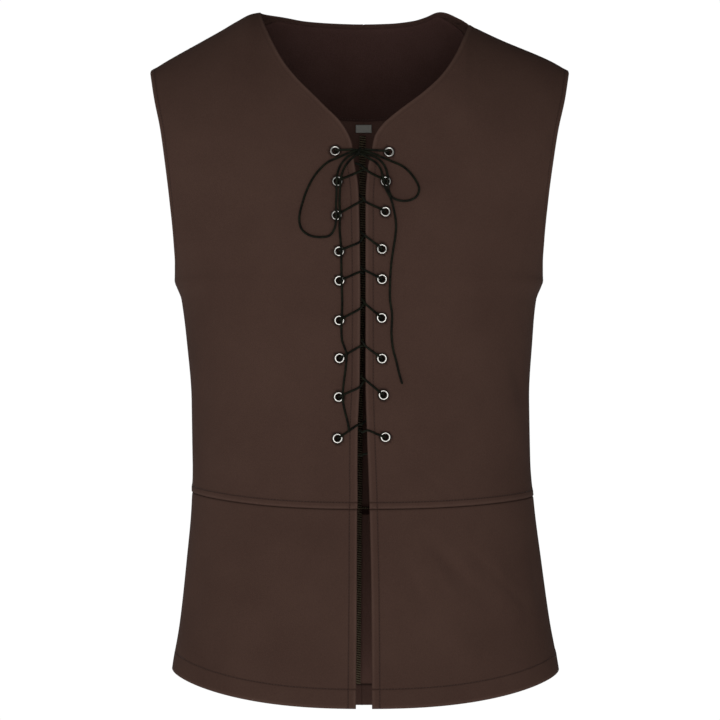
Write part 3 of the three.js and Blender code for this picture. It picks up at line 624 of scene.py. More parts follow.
def two_tones(tree, amount, dark, light, start=0.0, end=1.0):
    """A colour that goes from dark to light as an amount goes from start to end."""
    ramp = add_node(tree, "ShaderNodeValToRGB", {"Fac": amount})
    stops = ramp.color_ramp.elements
    stops[0].position, stops[1].position = start, end
    stops[0].color, stops[1].color = socket_colour(dark), socket_colour(light)
    return ramp.outputs["Color"]


def relief(tree, shader, height, strength, distance):
    sockets = {"Height": height, "Strength": strength, "Distance": distance}
    bump = add_node(tree, "ShaderNodeBump", sockets)
    tree.links.new(bump.outputs["Normal"], shader.inputs["Normal"])


# Waxed black cotton cord, braided: near black with a dull sheen on its raised strands, faintly
# olive where the wax has rubbed off. Its strands are drawn 1.1 mm apart so that they show.
STRAND_PITCH = 1.1
cord_finish, cord_tree, cord_shader = new_finish("waxed_braided_cotton", Roughness=0.5)
cord_shader.inputs["Specular IOR Level"].default_value = 0.07
cord_map = add_node(cord_tree, "ShaderNodeUVMap", uv_map="round_and_along")
cord_parts = add_node(cord_tree, "ShaderNodeSeparateXYZ", {"Vector": cord_map.outputs["UV"]})
cord_along = combine(cord_tree, "MULTIPLY", cord_parts.outputs["Y"], math.pi / STRAND_PITCH)
cord_round = combine(cord_tree, "MULTIPLY", cord_parts.outputs["X"], 4 * math.pi)
cord_waves = [
    combine(cord_tree, "SINE", combine(cord_tree, way, cord_along, cord_round))
    for way in ("ADD", "SUBTRACT")
]
cord_braid = combine(cord_tree, "MULTIPLY", *cord_waves)
cord_wear = grain(cord_tree, 180, 4, 0.7)
cord_tone = two_tones(cord_tree, cord_wear, "#050504", "#1b1e13", 0.35, 0.75)
cord_tree.links.new(cord_tone, cord_shader.inputs["Base Color"])
relief(cord_tree, cord_shader, cord_braid, 0.8, 0.00025)


def lace_piece(name, route):
    """A length of the lace on its route, with its ends drawn in to a blunt tip."""
    line = smooth_route(route)
    ways = unit(np.gradient(line, axis=0))
    tips = [0.25, 0.7, 0.93]
    head = [line[0] - ways[0] * LACE / 2 * math.sqrt(1 - t * t) for t in tips]
    tail = [line[-1] + ways[-1] * LACE / 2 * math.sqrt(1 - t * t) for t in reversed(tips)]
    full = np.concatenate([head, line, tail])
    radii = np.concatenate([tips, np.ones(len(line)), tips[::-1]]) * LACE / 2
    points, faces = tube_rings(full, radii, LACE_SIDES)
    piece = new_piece(name, points, faces, cord_finish)
    wrap_map(piece, full, LACE_SIDES)
    return piece, line


for hand, side in SIDES.items():
    laced, _ = lace_piece(f"laced_half_{hand}", laced_half(side))
    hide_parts(f"lace_{hand}")

for name, rows in BOW.items():
    cord, cord_line = lace_piece(name.replace("bow", "lace_bow"), [front_place(*row) for row in rows])
    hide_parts(name)

# The knot's turns: cords that run through it, and one that is wrapped round them all, each a
# row of places across, up and out from the knot's middle.
KNOT_TURNS = [
    [(-6.6, -0.4, 4.6), (-3.4, 0.9, 4.9), (0, 1.2, 4.6), (3.2, 0.8, 5), (6.3, -0.3, 4.5)],
    [(-6.3, -2.2, 2.4), (-3.2, -1, 3.2), (0, -0.4, 3.4), (3.5, -1.1, 3.2), (7.2, -2.4, 2.4)],
    [(-4.6, -4.6, 4), (-2.4, -2.9, 4.6), (0, -1.9, 5.2), (2.6, -2.8, 4.7), (5.4, -4.6, 4)],
    [(-6.3, 2, 2.6), (-3, 1.9, 2.3), (0, 1.7, 2.1), (3, 1.9, 2.3), (6.3, 2, 2.6)],
    [
        (-1.5, -3.7, 2.4), (-1.3, -3.4, 5.2), (-0.7, -1.2, 6.7), (0, 1.2, 6.7), (0.6, 3.1, 5.2),
        (0.9, 3.3, 2.6), (1.1, 1.2, 0.9), (1.3, -1.4, 1), (1.5, -3.3, 2.6),
    ],
]
knot_points, knot_faces, knot_lines = [], [], []
for turn in KNOT_TURNS:
    places = [
        front_place(KNOT["across"] + across, KNOT["height"] + up, out) for across, up, out in turn
    ]
    line = smooth_route(places, 0.6)
    points, faces = tube_rings(line, LACE / 2, LACE_SIDES)
    first = sum(len(p) for p in knot_points)
    knot_points.append(points)
    knot_faces += [[n + first for n in face] for face in faces]
    knot_lines.append(line)
knot = new_piece("lace_knot", np.concatenate(knot_points), knot_faces, cord_finish)
wrap_map(knot, np.concatenate(knot_lines), LACE_SIDES)
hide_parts("bow_knot")

# Vest cloth: eight panels of dark brown faux suede, cut and sewn together. Their free edges are
# folded in and topstitched, their seams sink between the panels, and the waist seam's
# allowance is pressed up and stitched down under a raised band.
WAIST = {"side": {RIGHT: -476, LEFT: -480}, FRONT: -489, BACK: -505.5, "power": 2}
HEM = {"side": {RIGHT: -662, LEFT: -663}, FRONT: -691, BACK: -716, "power": 1.8}
NECK_POINT = {RIGHT: -107, LEFT: 112.5}
SHOULDER_TIP = {RIGHT: -223.2, LEFT: 217.4}
ARM_DEPTH = 219.7

# The edge of the back neck between the two neck points.
BACK_NECK = table(
    ["across", "height"],
    [
        [-107, 29], [-86, 28.1], [-60, 25.5], [-30, 24.6], [0, 24.2], [30, 24.5], [55, 26.3],
        [68, 29.2], [81, 33], [105, 23.2], [112.5, 16.3],
    ],
)

# Centre back seam, which strays a little from the middle.
BACK_SEAM = table(
    ["height", "across"], [[-720, -0.5], [-490, -0.3], [-300, 1], [-100, 1.8], [24, 1.5]]
)

# Rows of the fronts: drop below the shoulder seam at the neck and at the armhole.
FRONT_ROWS = table(
    ["neck", "arm"],
    [
        [0, 0], [2.5, 2.5], [9, 9], [20, 20], [36, 35], [55, 54], [76, 78], [98, 105], [118, 132],
        [133, 156], [147, 178], [162, 196], [182, 208], [206, 216], [232, 219.7], [262, 242],
        [295, 270], [330, 300], [368, 332], [408, 365], [446, 396], [482, 422], [518, 443],
    ],
)
# Rows of the upper back: share of the way down, with half of it above the underarm.
BACK_ROWS = np.array(
    [
        0, 0.01, 0.03, 0.062, 0.103, 0.15, 0.2, 0.255, 0.31, 0.365, 0.41, 0.45, 0.478, 0.493, 0.5,
        0.56, 0.63, 0.71, 0.8, 0.9, 1,
    ]
)
UNDERARM_ROW = 14
NECK_COLUMNS = 6
SHOULDER_COLUMNS = 7
BASE_COLUMNS = 112
COLUMN_CROWD = 1.3
FINE = 8


def seam_height(line, face, side, angle):
    """Height of the waist seam or the hem round the body."""
    edge = line["side"][side]
    cosine = np.maximum(0, np.cos(np.radians(angle)))
    return edge + (line[face] - edge) * cosine ** line["power"]


def side_height(side, drop):
    """Height on the armhole or the side seam, so far below the shoulder's tip."""
    tip = ridge_at(SHOULDER_TIP[side])
    above = tip + (UNDERARM - tip) * drop / ARM_DEPTH
    return np.where(drop < ARM_DEPTH, above, UNDERARM - (drop - ARM_DEPTH))


def armhole_angle(height):
    return np.where(height > UNDERARM, read(ARMHOLE, "height", "angle", height), 90)


def refined(values):
    """Values with places between them, crowded at the very start."""
    t = np.arange(FINE) / FINE
    steps = [values[0] + (values[1] - values[0]) * t**2]
    steps += [a + (b - a) * t for a, b in zip(values[1:], values[2:])]
    return np.append(np.concatenate(steps), values[-1])


def upper_front_net(side):
    """Angles and downs over an upper front, from its opening to its armhole and side seam."""
    neck = ridge_at(NECK_POINT[side])
    edge_height = neck - FRONT_ROWS["neck"]
    arm_height = side_height(side, FRONT_ROWS["arm"])
    edge_height[-1], arm_height[-1] = WAIST[FRONT], WAIST["side"][side]
    edge_height, arm_height = refined(edge_height)[:, None], refined(arm_height)[:, None]
    roof = np.maximum(0, 1 - refined(FRONT_ROWS["arm"]) / SHOULDER_ROUND)[:, None]
    edge_across = read(FRONT_EDGE[side], "height", "across", edge_height)
    edge_angle = angle_at(side, edge_across, edge_height)
    arm_angle = armhole_angle(arm_height)
    arm_across = across_at(side, arm_angle, arm_height)
    f = np.linspace(0, 1, BASE_COLUMNS + 1)[None, :] ** COLUMN_CROWD
    angle = edge_angle + (arm_angle - edge_angle) * f
    across = across_at(side, angle, edge_height + (arm_height - edge_height) * f)
    along = (across - edge_across) / (arm_across - edge_across)
    straight = ridge_at(edge_across) + (ridge_at(arm_across) - ridge_at(edge_across)) * along
    height = edge_height + (arm_height - edge_height) * along
    height = height + roof * (ridge_at(across) - straight)
    to_waist = np.clip(np.arange(len(angle)) / FINE - (len(FRONT_ROWS["arm"]) - 2), 0, 1)[:, None]
    height = height + to_waist * (seam_height(WAIST, FRONT, side, angle) - height)
    down = down_at(ridge_at(across_at(side, angle, height)) - height)
    down[0] = 0
    return angle, down


def upper_back_net(side):
    """The same over an upper back, from the centre back seam past the neck point."""
    neck_angle = angle_at(side, NECK_POINT[side], ridge_at(NECK_POINT[side]))
    tip_height = ridge_at(SHOULDER_TIP[side])
    tip_angle = angle_at(side, SHOULDER_TIP[side], tip_height)
    seam_top = angle_at(side, read(BACK_SEAM, "height", "across", 0), 0)
    neck_part = np.linspace(seam_top, neck_angle, NECK_COLUMNS * FINE + 1)
    shoulder_part = np.linspace(neck_angle, tip_angle, SHOULDER_COLUMNS * FINE + 1)
    top_angle = np.concatenate([neck_part, shoulder_part[1:]])[None, :]
    top_across = across_at(side, top_angle, 0)
    top_across[0, NECK_COLUMNS * FINE] = NECK_POINT[side]
    on_neck = np.arange(top_angle.size)[None, :] < NECK_COLUMNS * FINE
    neck_top = read(BACK_NECK, "across", "height", top_across)
    top = np.where(on_neck, neck_top, ridge_at(top_across))
    part = (top_angle - seam_top) / (tip_angle - seam_top)
    drop = refined(BACK_ROWS)[:, None]
    below = UNDERARM + (WAIST["side"][side] - UNDERARM) * (2 * drop - 1)
    arm_height = np.where(drop < 0.5, side_height(side, 2 * drop * ARM_DEPTH), below)
    straight = tip_height + (WAIST["side"][side] - tip_height) * drop
    even = top + (seam_height(WAIST, BACK, side, part * 90) - top) * drop
    height = even + part * (arm_height - straight)
    seam_angle = angle_at(side, read(BACK_SEAM, "height", "across", height), height)
    angle = seam_angle + (armhole_angle(arm_height) - seam_angle) * part
    angle = top_angle + (angle - top_angle) * np.clip(drop / BACK_ROWS[1], 0, 1)
    down = down_at(ridge_at(across_at(side, angle, height)) - height)
    down[0] = np.where(on_neck[0], down[0], 0)
    return angle, down


def waist_net(face, side):
    """The same between the waist seam and the hem, from the opening or centre back."""
    share_down = np.linspace(0, 1, 8 * FINE + 1)[:, None]
    middle = WAIST[face] + (HEM[face] - WAIST[face]) * share_down
    edges = FRONT_EDGE[side] if face == FRONT else BACK_SEAM
    edge = angle_at(side, read(edges, "height", "across", middle), middle)
    f = np.linspace(0, 1, BASE_COLUMNS + 1)[None, :] ** COLUMN_CROWD
    angle = edge + (90 - edge) * f
    waist, hem = (seam_height(line, face, side, angle) for line in (WAIST, HEM))
    height = waist + (hem - waist) * share_down
    return angle, down_at(ridge_at(across_at(side, angle, height)) - height)


# Places across an edge, in millimetres from it, that are close where the sewing needs them.
NEAR_SEAM = [0, 0.25, 0.6, 1.1, 1.8, 2.8, 4.2, 6, 8.5]
NEAR_FOLD = [0, 0.2, 0.5, 0.9, 1.5, 2.4, 3.6, 4.4, 4.9, 5.2, 5.5, 5.8, 6.1, 6.6, 7.5, 9, 11]
NEAR_OPENING = [0, 0.2, 0.5, 0.9, 1.5, 2.4, 3.6, 5, 6.4, 7.1, 7.5, 7.8, 8.1, 8.4, 8.8, 9.6, 11]
NEAR_OPENING += [13, 15, 17, 19, 21, 23, 25, 27.5]
NEAR_BAND = [0, 0.2, 0.5, 0.9, 1.5, 2.5, 4, 5.4, 6.1, 6.5, 6.8, 7.1, 7.4, 7.8, 8.5, 9.8, 12]
NEAR_HEM = [0, 0.2, 0.5, 0.9, 1.5, 2.5, 4, 7, 10, 13, 16, 18.2, 19.1, 19.5, 19.8, 20.1, 20.4]
NEAR_HEM += [20.8, 21.5, 23, 25]
COLUMN_STEP = 3.6
ROW_STEP = 2.8


def run_along(points, axis):
    """Distances along each of a net's lines from its start."""
    steps = np.linalg.norm(np.diff(points, axis=axis), axis=-1)
    start = np.zeros_like(np.take(steps, [0], axis=axis))
    return np.concatenate([start, np.cumsum(steps, axis=axis)], axis=axis)


def slant(points):
    """How much wider than square on each row meets the first column, from 1 up to 2.5."""
    across = unit(points[:, 3] - points[:, 0])
    along = unit(np.gradient(points[:, 0], axis=0))
    sine = np.linalg.norm(np.cross(across, along), axis=-1)
    return 1 / np.clip(sine, 0.4, 1)


def spread(angle, down, points, pins, start, end, step, slants):
    """A net's rows, drawn anew: close at their ends and even between their pins."""
    run = run_along(points, 1)
    starts = np.outer(slants[0], start)
    ends = run[:, -1:] - np.outer(slants[1], end)
    stops = [starts[:, -1], *(run[:, pin] for pin in pins), ends[:, -1]]
    places = [starts]
    for a, b in zip(stops, stops[1:]):
        count = max(1, math.ceil((b - a).max() / step))
        f = np.arange(1, count + 1) / count
        places.append(a[:, None] + np.outer(b - a, f))
    places.append(ends[:, -2::-1])
    places = np.concatenate(places, axis=1)
    new = [np.stack([np.interp(t, r, v) for t, r, v in zip(places, run, values)])
           for values in (angle, down)]
    found = [int(np.argmin(np.abs(places[0] - run[0, pin]))) for pin in pins]
    return new[0], new[1], found


def distance_to(line, points):
    """Shortest distance from each point to a line of straight steps."""
    flat = points.reshape(-1, 3)
    best = np.full(len(flat), np.inf)
    for a, step in zip(line, np.diff(line, axis=0)):
        size = step @ step
        if size == 0:
            continue
        t = np.clip((flat - a) @ step / size, 0, 1)
        best = np.minimum(best, ((flat - a - t[:, None] * step) ** 2).sum(axis=1))
    return np.sqrt(best).reshape(points.shape[:-1])


# What the sewing does at each kind of edge: where rows are close to it, depth and width of the
# valley at a seam, height of the folded layers, how far in the stitches are, how deep they
# sink, and if thread shows.
EDGE_PARTS = ("near", "valley", "width", "layers", "stitch", "sink", "thread")
EDGES = {
    kind: dict(zip(EDGE_PARTS, parts))
    for kind, parts in {
        "seam": (NEAR_SEAM, 1.3, 2.0, 0, 0, 0, False),
        "under": (NEAR_SEAM, 1.3, 2.6, 0, 0, 0, False),
        "band": (NEAR_BAND, 1.3, 0.9, 0.5, 7, 0.5, True),
        "opening": (NEAR_OPENING, 0, 1, 0.35, 8, 0.45, True),
        "neck": (NEAR_FOLD, 0, 1, 0.3, 5, 0.12, False),
        "armhole": (NEAR_FOLD, 0, 1, 0.35, 5.5, 0.4, True),
        "hem": (NEAR_HEM, 0, 1, 0.3, 20, 0.45, True),
    }.items()
}
# The most columns in from an edge that its relief and its stitches are looked for.
RELIEF_COLUMNS = 44
STITCH_COLUMNS = 40
FAR_OFF = 99.0
FOLD_ROUND = 0.9
TURN_REACH = 1.2
INNER_LAYERS = 0.45
FULL_SINK = 0.45
STITCH_WIDTH = 0.6
OPENING_TOP = {"from": -150, "reach": 45}
# Painted shade in seam valleys, stitch grooves, over the insides of turned edges and on the back's inside
# round the neck; the folded edges painted lighter, as wear and painted highlight.
SEAM_SHADE = {"share": 0.28, "reach": 1.6}
STITCH_SHADE = 0.5
HEM_SHADE = 0.45
NECK_SHADE = {"share": 0.6, "from": -45, "reach": 45}
RUBBED_AND_HIGHLIGHT = {"at": 1.6, "width": 1.2, "share": 0.2}
PUCKER = {"lift": 0.28, "reach": 5}
ALLOWANCE = 2.5
MIDDLE = -CLOTH / 2
SEAM_DEPTH = -1.35


def rise(t):
    """A quarter round from 0 to 1."""
    return np.sqrt(1 - (1 - np.clip(t, 0, 1)) ** 2)


def ease(t):
    t = np.clip(t, 0, 1)
    return t * t * (3 - 2 * t)


def make_panel(name, face, side, net, edges):
    """Lays out one panel's grid, and works out the relief that its sewing gives it.
    edges: for each of left, right, top and bottom, one kind or two kinds that meet at a pin."""
    angle, down = net
    points, _ = cloth_places(face, side, angle, down)
    slants = slant(points), slant(points[:, ::-1])
    column_pins = [NECK_COLUMNS * FINE] if len(edges["top"]) > 1 else []
    row_pins = [UNDERARM_ROW * FINE] if len(edges["right"]) > 1 else []
    close = {where: EDGES[kinds[0]]["near"] for where, kinds in edges.items()}
    angle, down, column_pins = spread(
        angle, down, points, column_pins, close["left"], close["right"], COLUMN_STEP, slants
    )
    points, _ = cloth_places(face, side, angle, down)
    even = np.ones(angle.shape[1])
    angle, down, row_pins = spread(
        angle.T, down.T, points.transpose(1, 0, 2), row_pins, close["top"], close["bottom"],
        ROW_STEP, (even, even),
    )
    angle, down = angle.T, down.T
    points, normals = cloth_places(face, side, angle, down)
    return {
        "name": name, "face": face, "side": side, "angle": angle, "down": down,
        "points": points, "normals": normals, "edges": edges,
        "pins": {"left": row_pins, "right": row_pins, "top": column_pins, "bottom": column_pins},
    }


def turned_view(grid, where):
    """A grid seen so that the named edge is its first column."""
    if where == "right":
        return grid[:, ::-1]
    if where == "top":
        return np.swapaxes(grid, 0, 1)
    if where == "bottom":
        return np.swapaxes(grid[::-1], 0, 1)
    return grid


def mark(grid, where, values, keep=np.maximum):
    """Marks values on a grid that is seen from one edge, keeping the higher unless told."""
    seen = turned_view(grid, where)
    keep(seen, values, out=seen)


def stitch_places(panel, where, first, last, distance):
    """Angles and downs on the line at a distance in from part of an edge."""
    points = turned_view(panel["points"], where)[first : last + 1]
    reach = min(points.shape[1], STITCH_COLUMNS)
    off = distance_to(points[:, 0], points[:, :reach])
    places = []
    for values in (panel["angle"], panel["down"]):
        rows = turned_view(values, where)[first : last + 1, :reach]
        places.append(
            [np.interp(d, o, v) for d, o, v in zip(np.broadcast_to(distance, len(off)), off, rows)]
        )
    return np.array(places[0]), np.array(places[1])


def uneven(points):
    """Waves one to three centimetres long, of no even spacing, between -1 and 1."""
    x, y, z = np.moveaxis(points, -1, 0)
    along = np.sin(0.31 * x + 1.1 * np.sin(0.07 * z + 0.045 * x))
    down = np.sin(0.23 * z - 0.17 * y + 1.3 * np.sin(0.09 * x + 0.03 * z))
    return (along + down) / 2


def sewn_relief(panel):
    """Lifts of a panel's outer and inner faces, and the painted shade on each of them, in its
    seams, its stitch grooves and under its turned edges. Below zero it is painted lighter instead
    along the folded edges, partly as wear and partly as painted highlight. The inside of the back
    has painted shade round the neck."""
    shape = panel["points"].shape[:2]
    height = panel["points"][..., 2]
    fold = np.ones(shape)
    valley = np.zeros(shape)
    layers, inner_layers, sink, shade_and_wear, inner_painted_shade = (np.zeros(shape) for _ in range(5))
    pucker, rubbed_and_highlight = np.zeros(shape), np.zeros(shape)
    panel["stitches"] = []
    for where, kinds in panel["edges"].items():
        view_shape = turned_view(height, where).shape
        pins = [0, *panel["pins"][where][: len(kinds) - 1], view_shape[0] - 1]
        for kind, first, last in zip(kinds, pins, pins[1:]):
            edge = EDGES[kind]
            points = turned_view(panel["points"], where)
            reach = min(points.shape[1], RELIEF_COLUMNS)
            off = np.full(view_shape, FAR_OFF)
            off[:, :reach] = distance_to(points[first : last + 1, 0], points[:, :reach])
            stitch = np.full(view_shape[0], float(edge["stitch"]))
            depth = np.full(view_shape[0], float(edge["sink"]))
            if kind == "opening":
                up = ease((points[:, 0, 2] - OPENING_TOP["from"]) / OPENING_TOP["reach"])
                stitch = stitch + (EDGES["neck"]["stitch"] - stitch) * up
                depth = depth + (EDGES["neck"]["sink"] - depth) * up
            stitch, depth = stitch[:, None], depth[:, None]
            if edge["valley"]:
                dip = -edge["valley"] * (1 - rise(off / edge["width"]))
                mark(valley, where, dip, np.minimum)
                # Painted shade in the seam's valley.
                shade = SEAM_SHADE["share"] * (1 - ease(off / SEAM_SHADE["reach"]))
                mark(shade_and_wear, where, shade)
            else:
                mark(fold, where, rise(off / FOLD_ROUND), np.minimum)
            if not edge["stitch"]:
                continue
            turn = ease(off / TURN_REACH)
            raised = edge["layers"] * turn * (1 - ease((off - stitch - 0.2) / 1.8))
            mark(layers, where, raised)
            # The folded edge painted lighter, partly as wear and partly as painted highlight.
            mark(rubbed_and_highlight, where, RUBBED_AND_HIGHLIGHT["share"] * bell((off - RUBBED_AND_HIGHLIGHT["at"]) / RUBBED_AND_HIGHLIGHT["width"]))
            hidden = INNER_LAYERS * turn * (1 - ease((off - stitch - ALLOWANCE) / 0.6))
            mark(inner_layers, where, hidden)
            # Inside: a painted shadow line along the turned edge's hidden fold, and painted shade over
            # the turned-up part.
            if kind != "band":
                hidden_edge_shadow = bell((off - stitch - ALLOWANCE - 0.5) / 1.2)
                turned_up_shade = HEM_SHADE * (off < stitch + ALLOWANCE)
                mark(inner_painted_shade, where, np.maximum(hidden_edge_shadow, turned_up_shade))
            on_line = stitch_places(panel, where, first, last, stitch[first : last + 1, 0])
            line, line_normals = cloth_places(panel["face"], panel["side"], *on_line)
            gap = np.full(view_shape, FAR_OFF)
            gap[:, :reach] = distance_to(line, points[:, :reach])
            groove = bell(gap / STITCH_WIDTH)
            mark(sink, where, depth * groove, np.add)
            # Painted shade in the stitches' groove.
            mark(shade_and_wear, where, STITCH_SHADE * groove * depth / FULL_SINK)
            mark(pucker, where, bell(gap / PUCKER["reach"]) * ease(off / 3))
            if edge["thread"]:
                line = line + line_normals * (PUCKER["lift"] * uneven(line))[:, None]
                panel["stitches"].append((where, kind, line, line_normals))
    drawn_up = PUCKER["lift"] * pucker * uneven(panel["points"]) * fold
    # Where there is no painted shade, the folded edges' wear and painted highlight.
    shade_and_wear = np.where(shade_and_wear < 0.05, -rubbed_and_highlight, shade_and_wear)
    # Painted shade on the inside of the back round the neck.
    if panel["face"] == BACK:
        up = ease((height - NECK_SHADE["from"]) / NECK_SHADE["reach"])
        inner_painted_shade = np.maximum(inner_painted_shade, NECK_SHADE["share"] * up)
    top = MIDDLE + (layers - MIDDLE) * fold
    outer = np.maximum(top + valley - sink * fold, SEAM_DEPTH) + drawn_up
    bottom = MIDDLE + (-CLOTH - inner_layers - MIDDLE) * fold
    inner = np.minimum(bottom, outer)
    return outer, inner, shade_and_wear, inner_painted_shade


def shell(name, outer, inner, finishes, shade_and_wear=None, inner_painted_shade=None):
    """A closed cloth shell from two grids that share their border."""
    rows, columns = outer.shape[:2]
    index = np.arange(rows * columns).reshape(rows, columns)
    under = index.copy()
    under[1:-1, 1:-1] = rows * columns + np.arange((rows - 2) * (columns - 2)).reshape(
        rows - 2, columns - 2
    )
    points = np.concatenate([outer.reshape(-1, 3), inner[1:-1, 1:-1].reshape(-1, 3)])
    right = [index[:-1, :-1], index[1:, :-1], index[1:, 1:], index[:-1, 1:]]
    wrong = [under[:-1, :-1], under[:-1, 1:], under[1:, 1:], under[1:, :-1]]
    faces = np.concatenate([np.stack(q, -1).reshape(-1, 4) for q in (right, wrong)])
    a, b, c, d = (points[faces[:, i]] for i in range(4))
    if (a * (np.cross(b, c) + np.cross(c, d))).sum() < 0:
        faces = faces[:, ::-1]
    piece = new_piece(name, points, faces, finishes[0])
    for finish in finishes[1:]:
        piece.data.materials.append(finish)
    half = len(faces) // 2
    piece.data.polygons.foreach_set("material_index", [0] * half + [len(finishes) - 1] * half)
    if shade_and_wear is not None:
        painted_shade_and_wear = np.concatenate([shade_and_wear.ravel(), inner_painted_shade[1:-1, 1:-1].ravel()])
        piece.data.attributes.new("painted_shade_and_wear", "FLOAT", "POINT").data.foreach_set("value", painted_shade_and_wear)
    return piece


# Faux suede: a brushed knit of fine polyester, dyed dark brown, with a short soft nap. Its nap
# lies this way and that, so the tone drifts over a few centimetres. The nap itself is finer
# than a pixel, and is drawn 1.2 mm coarse so that it shows. Painted shade darkens it in its
# seams, stitch grooves and round the eyelets, and its folded edges are painted lighter, partly
# as wear and partly as painted highlight.
NAP_SIZE = 0.0012
DRIFT_SIZE = 0.07
NAP_SHARE = 0.6
# Tone of the painted shade, and tone of the worn edges with their painted highlight.
PAINTED_SHADE_TONE = "#140d0a"
PAINTED_SHADE_SHARE = 0.85
WORN_AND_HIGHLIGHT_TONE = "#7a6258"


def suede_finish(name, dark, light, nap_depth):
    made, tree, shader = new_finish(name, Roughness=0.92)
    shader.inputs["Specular IOR Level"].default_value = 0.04
    drift = grain(tree, 1 / DRIFT_SIZE, 3, 0.55)
    nap = grain(tree, 1 / NAP_SIZE, 4, 0.65)
    both = add_node(tree, "ShaderNodeMix", {0: NAP_SHARE, 2: drift, 3: nap}).outputs[0]
    colour = two_tones(tree, both, dark, light, 0.36, 0.64)
    # Above zero the attribute gives painted shade; below zero, wear with painted highlight.
    painted_shade_and_wear = add_node(tree, "ShaderNodeAttribute", attribute_name="painted_shade_and_wear").outputs["Fac"]
    worn_and_highlight = combine(tree, "MULTIPLY", combine(tree, "MULTIPLY", painted_shade_and_wear, -1), both)
    for amount, code in (
        (combine(tree, "MULTIPLY", painted_shade_and_wear, PAINTED_SHADE_SHARE), PAINTED_SHADE_TONE),
        (worn_and_highlight, WORN_AND_HIGHLIGHT_TONE),
    ):
        mixed = add_node(tree, "ShaderNodeMix", data_type="RGBA")
        tree.links.new(amount, mixed.inputs[0])
        tree.links.new(colour, mixed.inputs[6])
        mixed.inputs[7].default_value = socket_colour(code)
        colour = mixed.outputs[2]
    tree.links.new(colour, shader.inputs["Base Color"])
    relief(tree, shader, nap, 0.6, nap_depth)
    return made


suede = suede_finish("dark_brown_faux_suede", "#3e2d27", "#46342d", 0.0005)
# The cloth's back is the plain knit under the nap: flatter, and of the same dye, but drawn
# lighter than the face, as painted light in the hollow of the vest.
suede_back_painted_lighter = suede_finish("faux_suede_knit_back", "#48342e", "#523c36", 0.0003)

PANELS = {}
for hand, side in SIDES.items():
    PANELS[f"front_{hand}"] = make_panel(
        f"front_{hand}", FRONT, side, upper_front_net(side),
        {"left": ["opening"], "right": ["armhole", "seam"], "top": ["seam"], "bottom": ["band"]},
    )
    PANELS[f"back_{hand}"] = make_panel(
        f"back_{hand}", BACK, side, upper_back_net(side),
        {"left": ["seam"], "right": ["armhole", "seam"], "top": ["neck", "seam"], "bottom": ["band"]},
    )
    PANELS[f"waist_front_{hand}"] = make_panel(
        f"waist_front_{hand}", FRONT, side, waist_net(FRONT, side),
        {"left": ["opening"], "right": ["seam"], "top": ["under"], "bottom": ["hem"]},
    )
    PANELS[f"waist_back_{hand}"] = make_panel(
        f"waist_back_{hand}", BACK, side, waist_net(BACK, side),
        {"left": ["seam"], "right": ["seam"], "top": ["under"], "bottom": ["hem"]},
    )

# Radius of the holes for the eyelets' barrels.
HOLE = 3.7
# Round each eyelet the cloth sinks and is painted darker as a painted shadow: where that starts, how far
# it reaches, and how deep it sinks.
EYELET_DIP_AND_SHADOW = {"from": 5.8, "reach": 1.6, "sink": 0.45}


def eyelet_places(side):
    own = "right" if side == RIGHT else "left"
    across, height = EYELETS[own + "_across"], EYELETS[own + "_height"]
    angle = angle_at(side, across, height)
    return cloth_places(FRONT, side, angle, down_at(ridge_at(across) - height))


def punch(piece, side):
    """Holes through a front for the barrels of its eyelets."""
    points, normals = eyelet_places(side)
    bpy.ops.object.select_all(action="DESELECT")
    punches = []
    for point, normal in zip(points / 1000, normals):
        turn = Vector((0, 0, 1)).rotation_difference(Vector(normal)).to_euler()
        bpy.ops.mesh.primitive_cylinder_add(
            vertices=40, radius=HOLE / 1000, depth=0.012, location=point, rotation=turn
        )
        punches.append(bpy.context.object)
    for tool in punches:
        tool.select_set(True)
    bpy.ops.object.join()
    tool = bpy.context.object
    cut = piece.modifiers.new("holes", "BOOLEAN")
    cut.operation = "DIFFERENCE"
    cut.solver = "EXACT"
    cut.object = tool
    bpy.ops.object.select_all(action="DESELECT")
    piece.select_set(True)
    bpy.context.view_layer.objects.active = piece
    bpy.ops.object.modifier_apply(modifier="holes")
    bpy.data.objects.remove(tool)
    piece.data.set_sharp_from_angle(angle=math.radians(62))


for name, panel in PANELS.items():
    outer, inner, shade_and_wear, inner_painted_shade = sewn_relief(panel)
    points, normals = panel["points"], panel["normals"]
    if name.startswith("front"):
        for eyelet in eyelet_places(panel["side"])[0]:
            off = np.linalg.norm(points - eyelet, axis=-1) - EYELET_DIP_AND_SHADOW["from"]
            near = 1 - ease(off / EYELET_DIP_AND_SHADOW["reach"])
            outer -= EYELET_DIP_AND_SHADOW["sink"] * near
            # Painted shadow round the eyelet.
            shade_and_wear = np.where(near > 0.05, np.maximum(shade_and_wear, near), shade_and_wear)
    panel["inner"] = inner
    piece = shell(
        "cloth_" + name,
        points + normals * outer[..., None],
        points + normals * inner[..., None],
        [suede, suede_back_painted_lighter],
        shade_and_wear,
        inner_painted_shade,
    )
    if name.startswith("front"):
        punch(piece, panel["side"])
    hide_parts(name)

# Topstitching: a row of thread that holds down each folded edge and the waist seam's
# allowance. Dark polyester, lockstitched 8 to the inch, and sunk in the nap.
# Down the fronts' openings the thread shows only from the foot of the V neck.
STITCHED_BELOW = 138
STITCH_END = 1.5
STITCH_STANDS = 0.14
STITCH_PITCH = 3.2
STITCH_LENGTH = 2.5
THREAD = 0.55
THREAD_SIDES = 6
STITCH_RINGS = [(0.0, 0.15, -0.34), (0.2, 0.9, -0.05), (0.5, 1, 0.02), (0.8, 0.9, -0.05),
                (1.0, 0.15, -0.34)]
